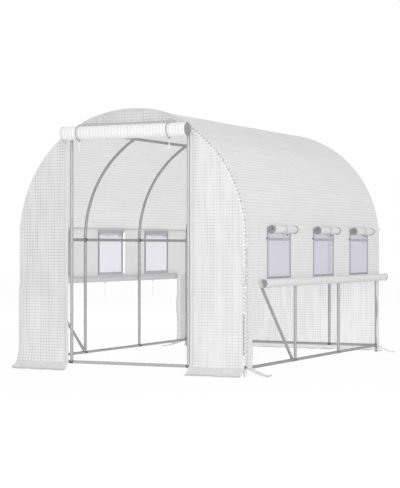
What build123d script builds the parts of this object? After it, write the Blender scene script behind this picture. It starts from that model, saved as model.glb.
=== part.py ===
"""Walk-in polytunnel with a roll-up door, roll-up sides and netted windows.

The frame is galvanised tube: four arches, each of two legs and a bow of three tubes pushed together at swaged ends,
with rails, purlins, posts and braces whose ends are coped to the tubes that they meet. A woven film cover is
stretched over it. The door, the sides and the window flaps are drawn wound up and tied.
X runs to the right seen from the front, the door is at -Y, and the ground is Z = 0.
"""

import os
from math import acos, asin, cos, degrees, radians, sin, sqrt, tan

from build123d import *

os.makedirs("parts", exist_ok=True)

# Tubes
tube = 25.0
tube_wall = 1.2
clearance = 0.3
neck_length = 8.0
leg_spigot = 60.0
crown_spigot = 45.0

# Frame
bow_radius = 985.0
shoulder = 1047.0
arch_pitch = 990.0
leg_joint_drop = 40.0
crown_joint_angle = 63.0
roof_purlin_angle = 60.0
shoulder_purlin_drop = 9.0
rail_height = 62.0
door_post_left = 530.0
door_post_right = 508.0
rear_post_offset = 520.0
brace_drop = 85.0
left_brace_lead = 2.0
right_brace_lead = 55.0
cope_reach = 60.0

# Cover
film = 3.0
film_clearance = 0.8
seam_rise = 93.0
roof_strip_count = 5
band_drop = 345.0
panel_lap = 10.0
door_left = 553.0
door_right = 517.0
lunette_lap = 19.0
end_skirt_reach = 120.0
side_skirt_reach = 165.0
right_front_strip = 110.0
right_rear_strip = 58.0
left_front_strip = 110.0
left_rear_strip = 200.0

# Windows
window_width = 455.0
window_sill_drop = 309.0
window_head_rise = 65.0
window_pitch_share = 0.929
window_shift = 55.0
middle_window_share = 0.05
net = 1.2

# Wound sheets
door_roll_radius = 59.0
door_roll_sink = 7.0
door_roll_left_overhang = 6.0
door_roll_right_overhang = 23.0
door_roll_pitch = 4.6
door_roll_half_turns = 14
door_roll_tail = 40.0
side_roll_radius = 36.0
side_roll_sink = 5.0
side_roll_pitch = 5.0
side_roll_half_turns = 10
side_roll_tail = 28.0
right_roll_setback = 235.0
right_roll_overhang = 66.0
left_roll_setback = 111.0
left_roll_rear_setback = 181.0
window_roll_radius = 35.0
window_roll_rise = 69.0
window_roll_overlap = 2.0
window_roll_pitch = 8.0
window_roll_half_turns = 5
window_roll_tail = 22.0

# Ties
strap = 1.5
strap_width = 16.0
strap_under = 125.0
strap_over = 100.0
left_tie_inset = 142.0
right_tie_inset = 159.0
tail_diameter = 5.0
door_tail = 90.0
side_tail = 137.0
window_tail = 80.0
tail_drop_shares = (0.0, 0.36, 0.7, 1.0)
tail_out_shares = (0.0, 0.03, 0.0, 0.04)
tail_along_shares = (0.0, 0.02, -0.03, 0.01)
bend_share = 0.45

tube_radius = tube / 2
bore_radius = tube_radius - tube_wall
cope_radius = tube_radius + clearance
spigot_radius = bore_radius - clearance
spigot_bore = spigot_radius - tube_wall
lining_radius = bow_radius + tube_radius + film_clearance
skin_radius = lining_radius + film
arch_rows = [(place - 1.5) * arch_pitch for place in range(4)]
front_row = arch_rows[0]
second_row = arch_rows[1]
third_row = arch_rows[2]
rear_row = arch_rows[3]
end_inner = rear_row + tube_radius + film_clearance
end_outer = end_inner + film
leg_top = shoulder - leg_joint_drop
shoulder_purlin_height = shoulder - shoulder_purlin_drop
brace_top = shoulder - brace_drop
neck_angle = degrees(neck_length / bow_radius)
spigot_angle = degrees(crown_spigot / bow_radius)
seam_angle = degrees(asin(seam_rise / skin_radius))
roof_strip_angle = (180.0 - 2 * seam_angle) / roof_strip_count
band_bottom = shoulder - band_drop
crease = rail_height
panel_bottom = crease - panel_lap
door_head = shoulder + sqrt(skin_radius * skin_radius - door_left * door_left)
lunette_bottom = door_head - lunette_lap
window_height = window_sill_drop + window_head_rise
window_middle = shoulder - window_sill_drop + window_height / 2
window_pitch = window_pitch_share * arch_pitch
right_windows = [window_shift + step * window_pitch for step in (-1, middle_window_share, 1)]
left_windows = [-window_shift + step * window_pitch for step in (-1, middle_window_share, 1)]
right_roll_ties = [window_shift + step * window_pitch for step in (-1, 0, 1)]
left_roll_ties = [-window_shift + step * window_pitch for step in (-1, 0, 1)]
door_roll_height = door_head - door_roll_sink
door_roll_left = door_left + door_roll_left_overhang
door_roll_right = door_right + door_roll_right_overhang
door_tie_left = door_roll_left - left_tie_inset
door_tie_right = door_roll_right - right_tie_inset
side_roll_height = band_bottom - side_roll_sink
right_roll_front = end_outer - right_roll_setback
right_roll_rear = end_outer + right_roll_overhang
left_roll_front = end_outer - left_roll_setback
left_roll_rear = end_outer - left_roll_rear_setback
window_roll_length = window_width + 2 * window_roll_overlap
window_roll_angle = degrees(asin(window_roll_rise / (skin_radius + clearance + window_roll_radius)))
FOOT = (Align.CENTER, Align.CENTER, Align.MIN)


def arch_plane(row):
    """The upright plane across the tunnel at a row, with its origin at the middle of the bow."""
    return Plane(origin=(0, row, shoulder), x_dir=(1, 0, 0), z_dir=(0, -1, 0))


def bow_plane(row, angle, way):
    """The plane across a bow tube at an angle, facing up the bow (way 1) or down it (way -1)."""
    turn = radians(angle)
    middle = (bow_radius * cos(turn), row, shoulder + bow_radius * sin(turn))
    return Plane(origin=middle, x_dir=(0, 1, 0), z_dir=(-way * sin(turn), 0, way * cos(turn)))


def disc(plane, radius):
    """A round face on a plane."""
    with BuildSketch(plane) as face:
        Circle(radius)
    return face.sketch


def ring(plane, radius, bore):
    """A tube's cross section on a plane."""
    with BuildSketch(plane) as face:
        Circle(radius)
        Circle(bore, mode=Mode.SUBTRACT)
    return face.sketch


def bow_line(row, start, size):
    """The centre line of a bow tube from an angle on."""
    with BuildLine(arch_plane(row)) as path:
        CenterArc((0, 0), bow_radius, start, size)
    return path.line


def straight_tube(start, end):
    """Adds a straight tube between two points to the part being made."""
    run = Vector(*end) - Vector(*start)
    with Locations(Plane(origin=start, z_dir=run)):
        Cylinder(tube_radius, run.length, align=FOOT)
        Cylinder(bore_radius, run.length, align=FOOT, mode=Mode.SUBTRACT)


def necked_end(wide, narrow):
    """Adds the tapered neck of a swaged end between two planes to the part being made."""
    loft([disc(wide, tube_radius), disc(narrow, spigot_radius)])
    loft([disc(wide, bore_radius), disc(narrow, spigot_bore)], mode=Mode.SUBTRACT)


def shell_sector(plane, inner, outer, start, size):
    """A curved strip of the roof in cross section."""
    with BuildSketch(plane) as face:
        with BuildLine():
            over = CenterArc((0, 0), outer, start, size)
            under = CenterArc((0, 0), inner, start, size)
            Line(over @ 0, under @ 0)
            Line(over @ 1, under @ 1)
        make_face()
    return face.sketch


def band_section(plane, inner, outer):
    """The window band in cross section: upright to the shoulder, then bent in to the roof seam."""
    drop = band_bottom - shoulder
    with BuildSketch(plane) as face:
        with BuildLine():
            over = CenterArc((0, 0), outer, 0, seam_angle)
            under = CenterArc((0, 0), inner, 0, seam_angle)
            Line(over @ 1, under @ 1)
            Polyline(over @ 0, (outer, drop), (inner, drop), under @ 0)
        make_face()
    return face.sketch


def end_section(plane, left, right, bottom):
    """The part of an end wall between two uprights, from a height up to the bow."""
    height = shoulder - bottom
    with BuildSketch(plane) as face:
        Circle(skin_radius)
        with Locations((0, -height / 2)):
            Rectangle(2 * skin_radius, height)
        with Locations((left, -height)):
            Rectangle(right - left, skin_radius + height, align=(Align.MIN, Align.MIN), mode=Mode.INTERSECT)
    return face.sketch


def roll_section(plane, radius, pitch, half_turns, tail):
    """A sheet wound into a roll, in cross section, with its outer end running up the wall behind the roll.

    On the plane, x points out from the wall and y up it. Each half turn is a little tighter than the last.
    """
    with BuildSketch(plane) as face:
        with BuildLine():
            for turn in range(half_turns):
                wound = radius - turn * pitch / 2
                middle = (radius + (turn % 2) * pitch / 2, 0)
                begin = 180.0 * (1 - turn % 2)
                over = CenterArc(middle, wound, begin, 180.0)
                under = CenterArc(middle, wound - film, begin, 180.0)
            Line(over @ 1, under @ 1)
            Polyline((0, 0), (0, tail), (film, tail), (film, 0))
        make_face()
    return face.sketch


def strap_section(plane, radius):
    """A tie strap round the outside of a roll, in cross section."""
    with BuildSketch(plane) as face:
        with BuildLine():
            inner = radius + clearance
            under = CenterArc((radius, 0), inner, -strap_under, strap_under + strap_over)
            over = CenterArc((radius, 0), inner + strap, -strap_under, strap_under + strap_over)
            Line(over @ 0, under @ 0)
            Line(over @ 1, under @ 1)
        make_face()
    return face.sketch


def skirt_section(plane, reach):
    """The skirt in cross section: it bends out from the wall and ends flat on the ground."""
    bend = (reach * reach + crease * crease) / (2 * crease)
    start = -degrees(acos(-reach / bend))
    size = -90.0 - start
    with BuildSketch(plane) as face:
        with BuildLine():
            under = CenterArc((reach, bend), bend, start, size)
            over = CenterArc((reach, bend), bend - film, start, size)
            Line(over @ 0, under @ 0)
            Line(over @ 1, under @ 1)
        make_face()
    return face.sketch


def tail_route(plane, radius, length):
    """The points that a tie's loose end hangs through, from just under the strap of its roll."""
    top = radius + strap + 3 * clearance
    shares = zip(tail_out_shares, tail_drop_shares, tail_along_shares)
    local = [(radius + out * length, -top - drop * length, along * length) for out, drop, along in shares]
    return [plane.from_local_coords(Vector(*point)) for point in local]


def bend_radius(points):
    """The widest bend that fits at every inner point of a route."""
    widest = []
    for before, here, after in zip(points, points[1:], points[2:]):
        arriving = here - before
        leaving = after - here
        half_turn = radians(arriving.get_angle(leaving)) / 2
        widest.append(bend_share * min(arriving.length, leaving.length) / tan(half_turn))
    return min(widest)


def tail_line(points):
    """The centre line of a tie's loose end."""
    with BuildLine() as path:
        FilletPolyline(*points, radius=bend_radius(points))
    return path.line


def right_wall_plane(height, station):
    """The section plane of a roll on the right-hand wall, facing the front."""
    return Plane(origin=(skin_radius + clearance, station, height), x_dir=(1, 0, 0), z_dir=(0, -1, 0))


def left_wall_plane(height, station):
    """The section plane of a roll on the left-hand wall, facing the rear."""
    return Plane(origin=(-skin_radius - clearance, station, height), x_dir=(-1, 0, 0), z_dir=(0, 1, 0))


def front_wall_plane(height, station):
    """The section plane of a roll on the front wall, facing left."""
    return Plane(origin=(station, -end_outer - clearance, height), x_dir=(0, -1, 0), z_dir=(-1, 0, 0))


def window_plane(side, station):
    """The section plane of a window roll, square to the bent-in wall behind it. side is 1 right, -1 left."""
    turn = radians(window_roll_angle)
    reach = skin_radius + clearance
    seat = (side * reach * cos(turn), station, shoulder + reach * sin(turn))
    return Plane(origin=seat, x_dir=(side * cos(turn), 0, sin(turn)), z_dir=(0, -side, 0))


# Legs: straight tubes, one pair to each arch. The end pairs stand on the ground and the others on the side rails.
for name, row, foot in (
    ("front", front_row, 0),
    ("second", second_row, rail_height),
    ("third", third_row, rail_height),
    ("rear", rear_row, 0),
):
    with BuildPart() as legs:
        for side in (-1, 1):
            straight_tube((side * bow_radius, row, foot), (side * bow_radius, row, leg_top))
        if foot > 0:
            with Locations((-bow_radius, row, rail_height), (bow_radius, row, rail_height)):
                Cylinder(cope_radius, 2 * cope_reach, rotation=(90, 0, 0), mode=Mode.SUBTRACT)
    legs.part.label = f"{name}_arch_legs"
    export_step(legs.part, f"parts/{name}_arch_legs.step")

# Bows: two side tubes whose swaged feet go down into the legs, and a crown tube swaged at both ends into them.
for name, row in zip(("front", "second", "third", "rear"), arch_rows):
    with BuildPart() as bow:
        for side in (-1, 1):
            stub = leg_top + neck_length
            foot = Plane(origin=(side * bow_radius, row, stub), z_dir=(0, 0, -1))
            begin = 90.0 - side * 90.0
            straight_tube((side * bow_radius, row, stub), (side * bow_radius, row, shoulder))
            sweep(
                ring(bow_plane(row, begin, side), tube_radius, bore_radius),
                path=bow_line(row, begin, side * crown_joint_angle),
            )
            necked_end(foot, foot.offset(neck_length))
            extrude(ring(foot.offset(neck_length), spigot_radius, spigot_bore), amount=leg_spigot)
            shut = 90.0 - side * (90.0 - crown_joint_angle)
            wide = shut + side * neck_angle
            necked_end(bow_plane(row, wide, -side), bow_plane(row, shut, -side))
            sweep(
                ring(bow_plane(row, shut, -side), spigot_radius, spigot_bore),
                path=bow_line(row, shut, -side * spigot_angle),
            )
        sweep(
            ring(bow_plane(row, crown_joint_angle + neck_angle, 1), tube_radius, bore_radius),
            path=bow_line(
                row, crown_joint_angle + neck_angle, 180.0 - 2 * (crown_joint_angle + neck_angle)
            ),
        )
    bow.part.label = f"{name}_arch_bow"
    export_step(bow.part, f"parts/{name}_arch_bow.step")

# Side base rails: one run a side, coped round the end legs and the end rails.
for name, side in (("left", -1), ("right", 1)):
    with BuildPart() as rail:
        straight_tube((side * bow_radius, front_row, rail_height), (side * bow_radius, rear_row, rail_height))
        with Locations(*[(side * bow_radius, row, rail_height) for row in (front_row, rear_row)]):
            Cylinder(cope_radius, 2 * cope_reach, mode=Mode.SUBTRACT)
            Cylinder(cope_radius, 2 * cope_reach, rotation=(0, 90, 0), mode=Mode.SUBTRACT)
    rail.part.label = f"{name}_base_rail"
    export_step(rail.part, f"parts/{name}_base_rail.step")

# End base rails, from leg to leg across the front and the rear.
for name, row in (("front", front_row), ("rear", rear_row)):
    with BuildPart() as rail:
        straight_tube((-bow_radius, row, rail_height), (bow_radius, row, rail_height))
        with Locations((-bow_radius, row, rail_height), (bow_radius, row, rail_height)):
            Cylinder(cope_radius, 2 * cope_reach, mode=Mode.SUBTRACT)
    rail.part.label = f"{name}_base_rail"
    export_step(rail.part, f"parts/{name}_base_rail.step")

# Shoulder purlins, between the straight feet of the bows.
with BuildPart() as shoulder_purlins:
    for side in (-1, 1):
        straight_tube(
            (side * bow_radius, front_row, shoulder_purlin_height),
            (side * bow_radius, rear_row, shoulder_purlin_height),
        )
        with Locations(*[(side * bow_radius, row, shoulder_purlin_height) for row in arch_rows]):
            Cylinder(cope_radius, 2 * cope_reach, mode=Mode.SUBTRACT)
shoulder_purlins.part.label = "shoulder_purlins"
export_step(shoulder_purlins.part, "parts/shoulder_purlins.step")

# Roof purlins, just below the joints of the crown tubes.
with BuildPart() as roof_purlins:
    turn = radians(roof_purlin_angle)
    for side in (-1, 1):
        straight_tube(
            (side * bow_radius * cos(turn), front_row, shoulder + bow_radius * sin(turn)),
            (side * bow_radius * cos(turn), rear_row, shoulder + bow_radius * sin(turn)),
        )
    with Locations(*[arch_plane(row) for row in arch_rows]):
        Torus(bow_radius, cope_radius, major_angle=180.0, align=None, mode=Mode.SUBTRACT)
roof_purlins.part.label = "roof_purlins"
export_step(roof_purlins.part, "parts/roof_purlins.step")

# Door posts and rear posts, from the end rails up to the bows.
post_rows = (
    ("door", front_row, (-door_post_left, door_post_right)),
    ("rear", rear_row, (-rear_post_offset, rear_post_offset)),
)
for name, row, places in post_rows:
    with BuildPart() as posts:
        for place in places:
            post_edge = abs(place) + tube_radius
            post_head = shoulder + sqrt(bow_radius * bow_radius - post_edge * post_edge)
            straight_tube((place, row, rail_height), (place, row, post_head))
        with Locations((0, row, rail_height)):
            Cylinder(cope_radius, 2 * bow_radius, rotation=(0, 90, 0), mode=Mode.SUBTRACT)
        with Locations(arch_plane(row)):
            Torus(bow_radius, cope_radius, major_angle=180.0, align=None, mode=Mode.SUBTRACT)
    posts.part.label = f"{name}_posts"
    export_step(posts.part, f"parts/{name}_posts.step")

# Diagonal braces of the front bay, from the front legs down to the side rails at the second arch. The left one ends
# in the corner between the leg and the rail, the right one a little before the leg.
with BuildPart() as side_braces:
    for side, lead in ((-1, left_brace_lead), (1, right_brace_lead)):
        straight_tube((side * bow_radius, front_row, brace_top), (side * bow_radius, second_row - lead, rail_height))
        with Locations((side * bow_radius, front_row, 0), (side * bow_radius, second_row, 0)):
            Cylinder(cope_radius, leg_top + cope_reach, align=FOOT, mode=Mode.SUBTRACT)
        with Locations((side * bow_radius, 0, rail_height)):
            Cylinder(cope_radius, 2 * rear_row, rotation=(90, 0, 0), mode=Mode.SUBTRACT)
side_braces.part.label = "side_braces"
export_step(side_braces.part, "parts/side_braces.step")

# Roof: strips of film side by side over the bows, between the end walls.
roof_names = ("roof_right_lower", "roof_right_upper", "roof_crown", "roof_left_upper", "roof_left_lower")
for place, name in enumerate(roof_names):
    with BuildPart() as roof_strip:
        begin = seam_angle + place * roof_strip_angle
        extrude(
            shell_sector(arch_plane(end_inner), lining_radius, skin_radius, begin, roof_strip_angle),
            amount=2 * end_inner,
        )
    roof_strip.part.label = name
    export_step(roof_strip.part, f"parts/{name}.step")

# Window bands: the wall from the roof seam down to the roll-up side, with three windows cut through.
with BuildPart() as right_window_band:
    extrude(band_section(arch_plane(end_inner), lining_radius, skin_radius), amount=2 * end_inner)
    with Locations(*[(skin_radius, station, window_middle) for station in right_windows]):
        Box(cope_reach, window_width, window_height, mode=Mode.SUBTRACT)
right_window_band.part.label = "right_window_band"
export_step(right_window_band.part, "parts/right_window_band.step")

with BuildPart() as left_window_band:
    extrude(band_section(arch_plane(end_inner), lining_radius, skin_radius), amount=2 * end_inner)
    mirror(about=Plane.YZ, mode=Mode.REPLACE)
    with Locations(*[(-skin_radius, station, window_middle) for station in left_windows]):
        Box(cope_reach, window_width, window_height, mode=Mode.SUBTRACT)
left_window_band.part.label = "left_window_band"
export_step(left_window_band.part, "parts/left_window_band.step")

# Window nets, filling the windows inside the thickness of the band.
net_inner = lining_radius + (film - net) / 2
with BuildPart() as right_window_nets:
    extrude(band_section(arch_plane(end_inner), net_inner, net_inner + net), amount=2 * end_inner)
    with Locations(*[(skin_radius, station, window_middle) for station in right_windows]):
        Box(
            cope_reach,
            window_width - 2 * clearance,
            window_height - 2 * clearance,
            mode=Mode.INTERSECT,
        )
right_window_nets.part.label = "right_window_nets"
export_step(right_window_nets.part, "parts/right_window_nets.step")

with BuildPart() as left_window_nets:
    extrude(band_section(arch_plane(end_inner), net_inner, net_inner + net), amount=2 * end_inner)
    mirror(about=Plane.YZ, mode=Mode.REPLACE)
    with Locations(*[(-skin_radius, station, window_middle) for station in left_windows]):
        Box(
            cope_reach,
            window_width - 2 * clearance,
            window_height - 2 * clearance,
            mode=Mode.INTERSECT,
        )
left_window_nets.part.label = "left_window_nets"
export_step(left_window_nets.part, "parts/left_window_nets.step")

# Corner strips of the sides, which stay up beside the end legs when the sides are wound up.
strip_middle = lining_radius + film / 2
strip_height = band_bottom - panel_bottom
strip_level = panel_bottom + strip_height / 2
for name, side, front_width, rear_width in (
    ("left", -1, left_front_strip, left_rear_strip),
    ("right", 1, right_front_strip, right_rear_strip),
):
    with BuildPart() as strips:
        with Locations((side * strip_middle, -end_inner + front_width / 2, strip_level)):
            Box(film, front_width, strip_height)
        with Locations((side * strip_middle, end_inner - rear_width / 2, strip_level)):
            Box(film, rear_width, strip_height)
    strips.part.label = f"{name}_corner_strips"
    export_step(strips.part, f"parts/{name}_corner_strips.step")

# Front wall: a panel at each side of the doorway and the rounded piece above it.
with BuildPart() as front_left_panel:
    extrude(end_section(arch_plane(-end_inner), -skin_radius, -door_left, panel_bottom), amount=film)
front_left_panel.part.label = "front_left_panel"
export_step(front_left_panel.part, "parts/front_left_panel.step")

with BuildPart() as front_right_panel:
    extrude(end_section(arch_plane(-end_inner), door_right, skin_radius, panel_bottom), amount=film)
front_right_panel.part.label = "front_right_panel"
export_step(front_right_panel.part, "parts/front_right_panel.step")

with BuildPart() as front_lunette:
    with BuildSketch(arch_plane(-end_inner)):
        Circle(skin_radius)
        with Locations((-door_left, lunette_bottom - shoulder)):
            Rectangle(
                door_left + door_right, skin_radius, align=(Align.MIN, Align.MIN), mode=Mode.INTERSECT
            )
    extrude(amount=film)
front_lunette.part.label = "front_lunette"
export_step(front_lunette.part, "parts/front_lunette.step")

# Rear wall, closed from side to side.
with BuildPart() as rear_wall:
    extrude(end_section(arch_plane(end_outer), -skin_radius, skin_radius, panel_bottom), amount=film)
rear_wall.part.label = "rear_wall"
export_step(rear_wall.part, "parts/rear_wall.step")

# Skirts, laid out on the ground to be covered with soil.
with BuildPart() as front_skirts:
    left_end = front_wall_plane(0, -door_left)
    right_end = front_wall_plane(0, skin_radius)
    extrude(skirt_section(left_end, end_skirt_reach), amount=skin_radius - door_left)
    extrude(skirt_section(right_end, end_skirt_reach), amount=skin_radius - door_right)
front_skirts.part.label = "front_skirts"
export_step(front_skirts.part, "parts/front_skirts.step")

with BuildPart() as rear_skirt:
    rear_end = Plane(origin=(-skin_radius, end_outer + clearance, 0), x_dir=(0, 1, 0), z_dir=(1, 0, 0))
    extrude(skirt_section(rear_end, end_skirt_reach), amount=2 * skin_radius)
rear_skirt.part.label = "rear_skirt"
export_step(rear_skirt.part, "parts/rear_skirt.step")

with BuildPart() as side_skirts:
    for station, width in ((right_front_strip - end_inner, right_front_strip), (end_inner, right_rear_strip)):
        extrude(skirt_section(right_wall_plane(0, station), side_skirt_reach), amount=width)
    for station, width in ((-end_inner, left_front_strip), (end_inner - left_rear_strip, left_rear_strip)):
        extrude(skirt_section(left_wall_plane(0, station), side_skirt_reach), amount=width)
side_skirts.part.label = "side_skirts"
export_step(side_skirts.part, "parts/side_skirts.step")

# Door: the whole sheet wound up to the top of the doorway.
with BuildPart() as door_roll:
    extrude(
        roll_section(
            front_wall_plane(door_roll_height, door_roll_right),
            door_roll_radius,
            door_roll_pitch,
            door_roll_half_turns,
            door_roll_tail,
        ),
        amount=door_roll_left + door_roll_right,
    )
door_roll.part.label = "door_roll"
export_step(door_roll.part, "parts/door_roll.step")

# Sides: each sheet wound up to the foot of its window band.
with BuildPart() as right_side_roll:
    extrude(
        roll_section(
            right_wall_plane(side_roll_height, right_roll_rear),
            side_roll_radius,
            side_roll_pitch,
            side_roll_half_turns,
            side_roll_tail,
        ),
        amount=right_roll_rear + right_roll_front,
    )
right_side_roll.part.label = "right_side_roll"
export_step(right_side_roll.part, "parts/right_side_roll.step")

with BuildPart() as left_side_roll:
    extrude(
        roll_section(
            left_wall_plane(side_roll_height, -left_roll_front),
            side_roll_radius,
            side_roll_pitch,
            side_roll_half_turns,
            side_roll_tail,
        ),
        amount=left_roll_front + left_roll_rear,
    )
left_side_roll.part.label = "left_side_roll"
export_step(left_side_roll.part, "parts/left_side_roll.step")

# Window flaps, each wound up to the roof seam.
for name, side, stations in (("left", -1, left_windows), ("right", 1, right_windows)):
    with BuildPart() as window_rolls:
        for station in stations:
            extrude(
                roll_section(
                    window_plane(side, station + side * window_roll_length / 2),
                    window_roll_radius,
                    window_roll_pitch,
                    window_roll_half_turns,
                    window_roll_tail,
                ),
                amount=window_roll_length,
            )
    window_rolls.part.label = f"{name}_window_rolls"
    export_step(window_rolls.part, f"parts/{name}_window_rolls.step")

# Tie straps round the rolls.
with BuildPart() as door_roll_ties:
    for station in (-door_tie_left, door_tie_right):
        seat = front_wall_plane(door_roll_height, station + strap_width / 2)
        extrude(strap_section(seat, door_roll_radius), amount=strap_width)
door_roll_ties.part.label = "door_roll_ties"
export_step(door_roll_ties.part, "parts/door_roll_ties.step")

with BuildPart() as side_roll_ties:
    for station in right_roll_ties:
        seat = right_wall_plane(side_roll_height, station + strap_width / 2)
        extrude(strap_section(seat, side_roll_radius), amount=strap_width)
    for station in left_roll_ties:
        seat = left_wall_plane(side_roll_height, station - strap_width / 2)
        extrude(strap_section(seat, side_roll_radius), amount=strap_width)
side_roll_ties.part.label = "side_roll_ties"
export_step(side_roll_ties.part, "parts/side_roll_ties.step")

with BuildPart() as window_roll_ties:
    for side, stations in ((-1, left_windows), (1, right_windows)):
        for station in stations:
            seat = window_plane(side, station + side * strap_width / 2)
            extrude(strap_section(seat, window_roll_radius), amount=strap_width)
window_roll_ties.part.label = "window_roll_ties"
export_step(window_roll_ties.part, "parts/window_roll_ties.step")

# Loose ends of the ties, hanging below their straps.
with BuildPart() as door_tie_tails:
    for station in (-door_tie_left, door_tie_right):
        route = tail_route(front_wall_plane(door_roll_height, station), door_roll_radius, door_tail)
        start = Plane(origin=route[0], z_dir=route[1] - route[0])
        sweep(disc(start, tail_diameter / 2), path=tail_line(route))
door_tie_tails.part.label = "door_tie_tails"
export_step(door_tie_tails.part, "parts/door_tie_tails.step")

with BuildPart() as side_tie_tails:
    seats = [right_wall_plane(side_roll_height, station) for station in right_roll_ties]
    seats += [left_wall_plane(side_roll_height, station) for station in left_roll_ties]
    for seat in seats:
        route = tail_route(seat, side_roll_radius, side_tail)
        start = Plane(origin=route[0], z_dir=route[1] - route[0])
        sweep(disc(start, tail_diameter / 2), path=tail_line(route))
side_tie_tails.part.label = "side_tie_tails"
export_step(side_tie_tails.part, "parts/side_tie_tails.step")

with BuildPart() as window_tie_tails:
    seats = [window_plane(1, station) for station in right_windows]
    seats += [window_plane(-1, station) for station in left_windows]
    for seat in seats:
        route = tail_route(seat, window_roll_radius, window_tail)
        start = Plane(origin=route[0], z_dir=route[1] - route[0])
        sweep(disc(start, tail_diameter / 2), path=tail_line(route))
window_tie_tails.part.label = "window_tie_tails"
export_step(window_tie_tails.part, "parts/window_tie_tails.step")
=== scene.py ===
import math
from functools import partial

import bpy
import numpy as np
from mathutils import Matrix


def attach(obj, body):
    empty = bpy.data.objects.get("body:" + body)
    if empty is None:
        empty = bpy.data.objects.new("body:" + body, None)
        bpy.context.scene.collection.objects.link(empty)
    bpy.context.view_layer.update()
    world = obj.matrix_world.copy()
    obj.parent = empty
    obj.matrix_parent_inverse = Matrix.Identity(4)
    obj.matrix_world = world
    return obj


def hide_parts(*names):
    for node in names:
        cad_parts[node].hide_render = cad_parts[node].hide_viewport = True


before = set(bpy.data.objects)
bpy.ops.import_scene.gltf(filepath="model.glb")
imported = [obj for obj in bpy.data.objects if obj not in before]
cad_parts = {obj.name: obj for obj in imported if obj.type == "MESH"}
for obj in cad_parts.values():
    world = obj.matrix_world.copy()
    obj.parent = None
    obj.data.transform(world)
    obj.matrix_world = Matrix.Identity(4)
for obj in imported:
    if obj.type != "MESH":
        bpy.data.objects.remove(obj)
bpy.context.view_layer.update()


# Studio: a pale floor in a white room, lit by the room and three broad soft lamps, one of them behind so
# that the film glows. Seen from the right of the door end through a long lens held level at half the
# tunnel's height.
def linear(hex_colour):
    """An sRGB hex colour as linear RGBA."""
    shares = [int(hex_colour[place:place + 2], 16) / 255 for place in (1, 3, 5)]
    return tuple(s / 12.92 if s <= 0.04045 else ((s + 0.055) / 1.055) ** 2.4 for s in shares) + (1.0,)


def add_node(tree, kind, settings, inputs):
    """One node with its settings. An input is a value, a socket, or a node whose first output feeds it."""
    node = tree.nodes.new(kind)
    for name, value in settings.items():
        setattr(node, name, value)
    for socket, value in inputs.items():
        if isinstance(value, bpy.types.Node):
            value = value.outputs[0]
        if isinstance(value, bpy.types.NodeSocket):
            tree.links.new(value, node.inputs[socket])
        else:
            node.inputs[socket].default_value = value
    return node


def add_object(name, data):
    """A new object in the scene, at the origin."""
    made = bpy.data.objects.new(name, data)
    scene.collection.objects.link(made)
    return made


def blank_material(name):
    """A material with an empty node tree, and that tree."""
    material = bpy.data.materials.new(name)
    material.use_nodes = True
    material.node_tree.nodes.clear()
    return material, material.node_tree


def looked_at(tree):
    """A value that is 1 where the camera looks, straight on or by a mirror, and 0 where light is gathered."""
    rays = add_node(tree, "ShaderNodeLightPath", {}, {}).outputs
    mirrored = add_node(
        tree, "ShaderNodeMath", {"operation": "MAXIMUM"},
        {0: rays["Is Glossy Ray"], 1: rays["Is Transmission Ray"]},
    )
    return add_node(tree, "ShaderNodeMath", {"operation": "MAXIMUM"}, {0: rays["Is Camera Ray"], 1: mirrored})


scene = bpy.context.scene
scene.view_settings.view_transform = "Standard"

lens = bpy.data.cameras.new("long_lens")
lens.sensor_width = 36.0
lens.lens = 110.3
lens.shift_y = 0.00604
camera = add_object("camera", lens)
camera.location = (5.6064, -11.7538, 0.9764)
camera.rotation_euler = (math.radians(90.0), 0.0, math.radians(25.96))
scene.camera = camera

room_light = 0.85
room = bpy.data.worlds.new("white_room")
room.use_nodes = True
tree = room.node_tree
tree.nodes.clear()
level = add_node(
    tree, "ShaderNodeMath", {"operation": "MULTIPLY_ADD"},
    {0: looked_at(tree), 1: 1 - room_light, 2: room_light},
)
glow = add_node(tree, "ShaderNodeBackground", {}, {"Color": linear("#FFFFFF"), "Strength": level})
add_node(tree, "ShaderNodeOutputWorld", {}, {"Surface": glow})
scene.world = room

lamp_target = np.array((0.0, 0.0, 1.0))
for name, place, size, power in (
    ("front_lamp", (4.2, -9.0, 2.0), 3.4, 198.0),
    ("side_lamp", (10.0, -3.0, 4.0), 5.0, 160.0),
    ("back_lamp", (-7.0, 8.0, 4.5), 5.0, 152.0),
):
    lamp = bpy.data.lights.new(name, "AREA")
    lamp.shape = "SQUARE"
    lamp.size = size
    lamp.energy = power
    holder = add_object(name, lamp)
    holder.location = place
    aim = lamp_target - np.array(place)
    tilt = math.atan2(math.hypot(aim[0], aim[1]), -aim[2])
    holder.rotation_euler = (tilt, 0.0, math.atan2(aim[1], aim[0]) - math.pi / 2)

# Matt floor paint that looks almost as white as the room, so that only the soft shadow shows on it.
floor_reach, floor_drop = 30.0, 0.001
floor_whiteness = 0.92
floor_paint, tree = blank_material("pale_floor_paint")
share = add_node(tree, "ShaderNodeMath", {"operation": "MULTIPLY"}, {0: looked_at(tree), 1: floor_whiteness})
paint = add_node(tree, "ShaderNodeBsdfDiffuse", {}, {"Color": linear("#F8F8F8")})
white = add_node(tree, "ShaderNodeEmission", {}, {"Color": linear("#FFFFFF"), "Strength": 1.0})
blend = add_node(tree, "ShaderNodeMixShader", {}, {0: share, 1: paint, 2: white})
add_node(tree, "ShaderNodeOutputMaterial", {}, {"Surface": blend})
floor_mesh = bpy.data.meshes.new("floor")
floor_corners = [
    (x * floor_reach, y * floor_reach, -floor_drop) for x, y in ((-1, -1), (1, -1), (1, 1), (-1, 1))
]
floor_mesh.from_pydata(floor_corners, [], [(0, 1, 2, 3)])
floor_mesh.materials.append(floor_paint)
floor = add_object("floor", floor_mesh)

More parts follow.
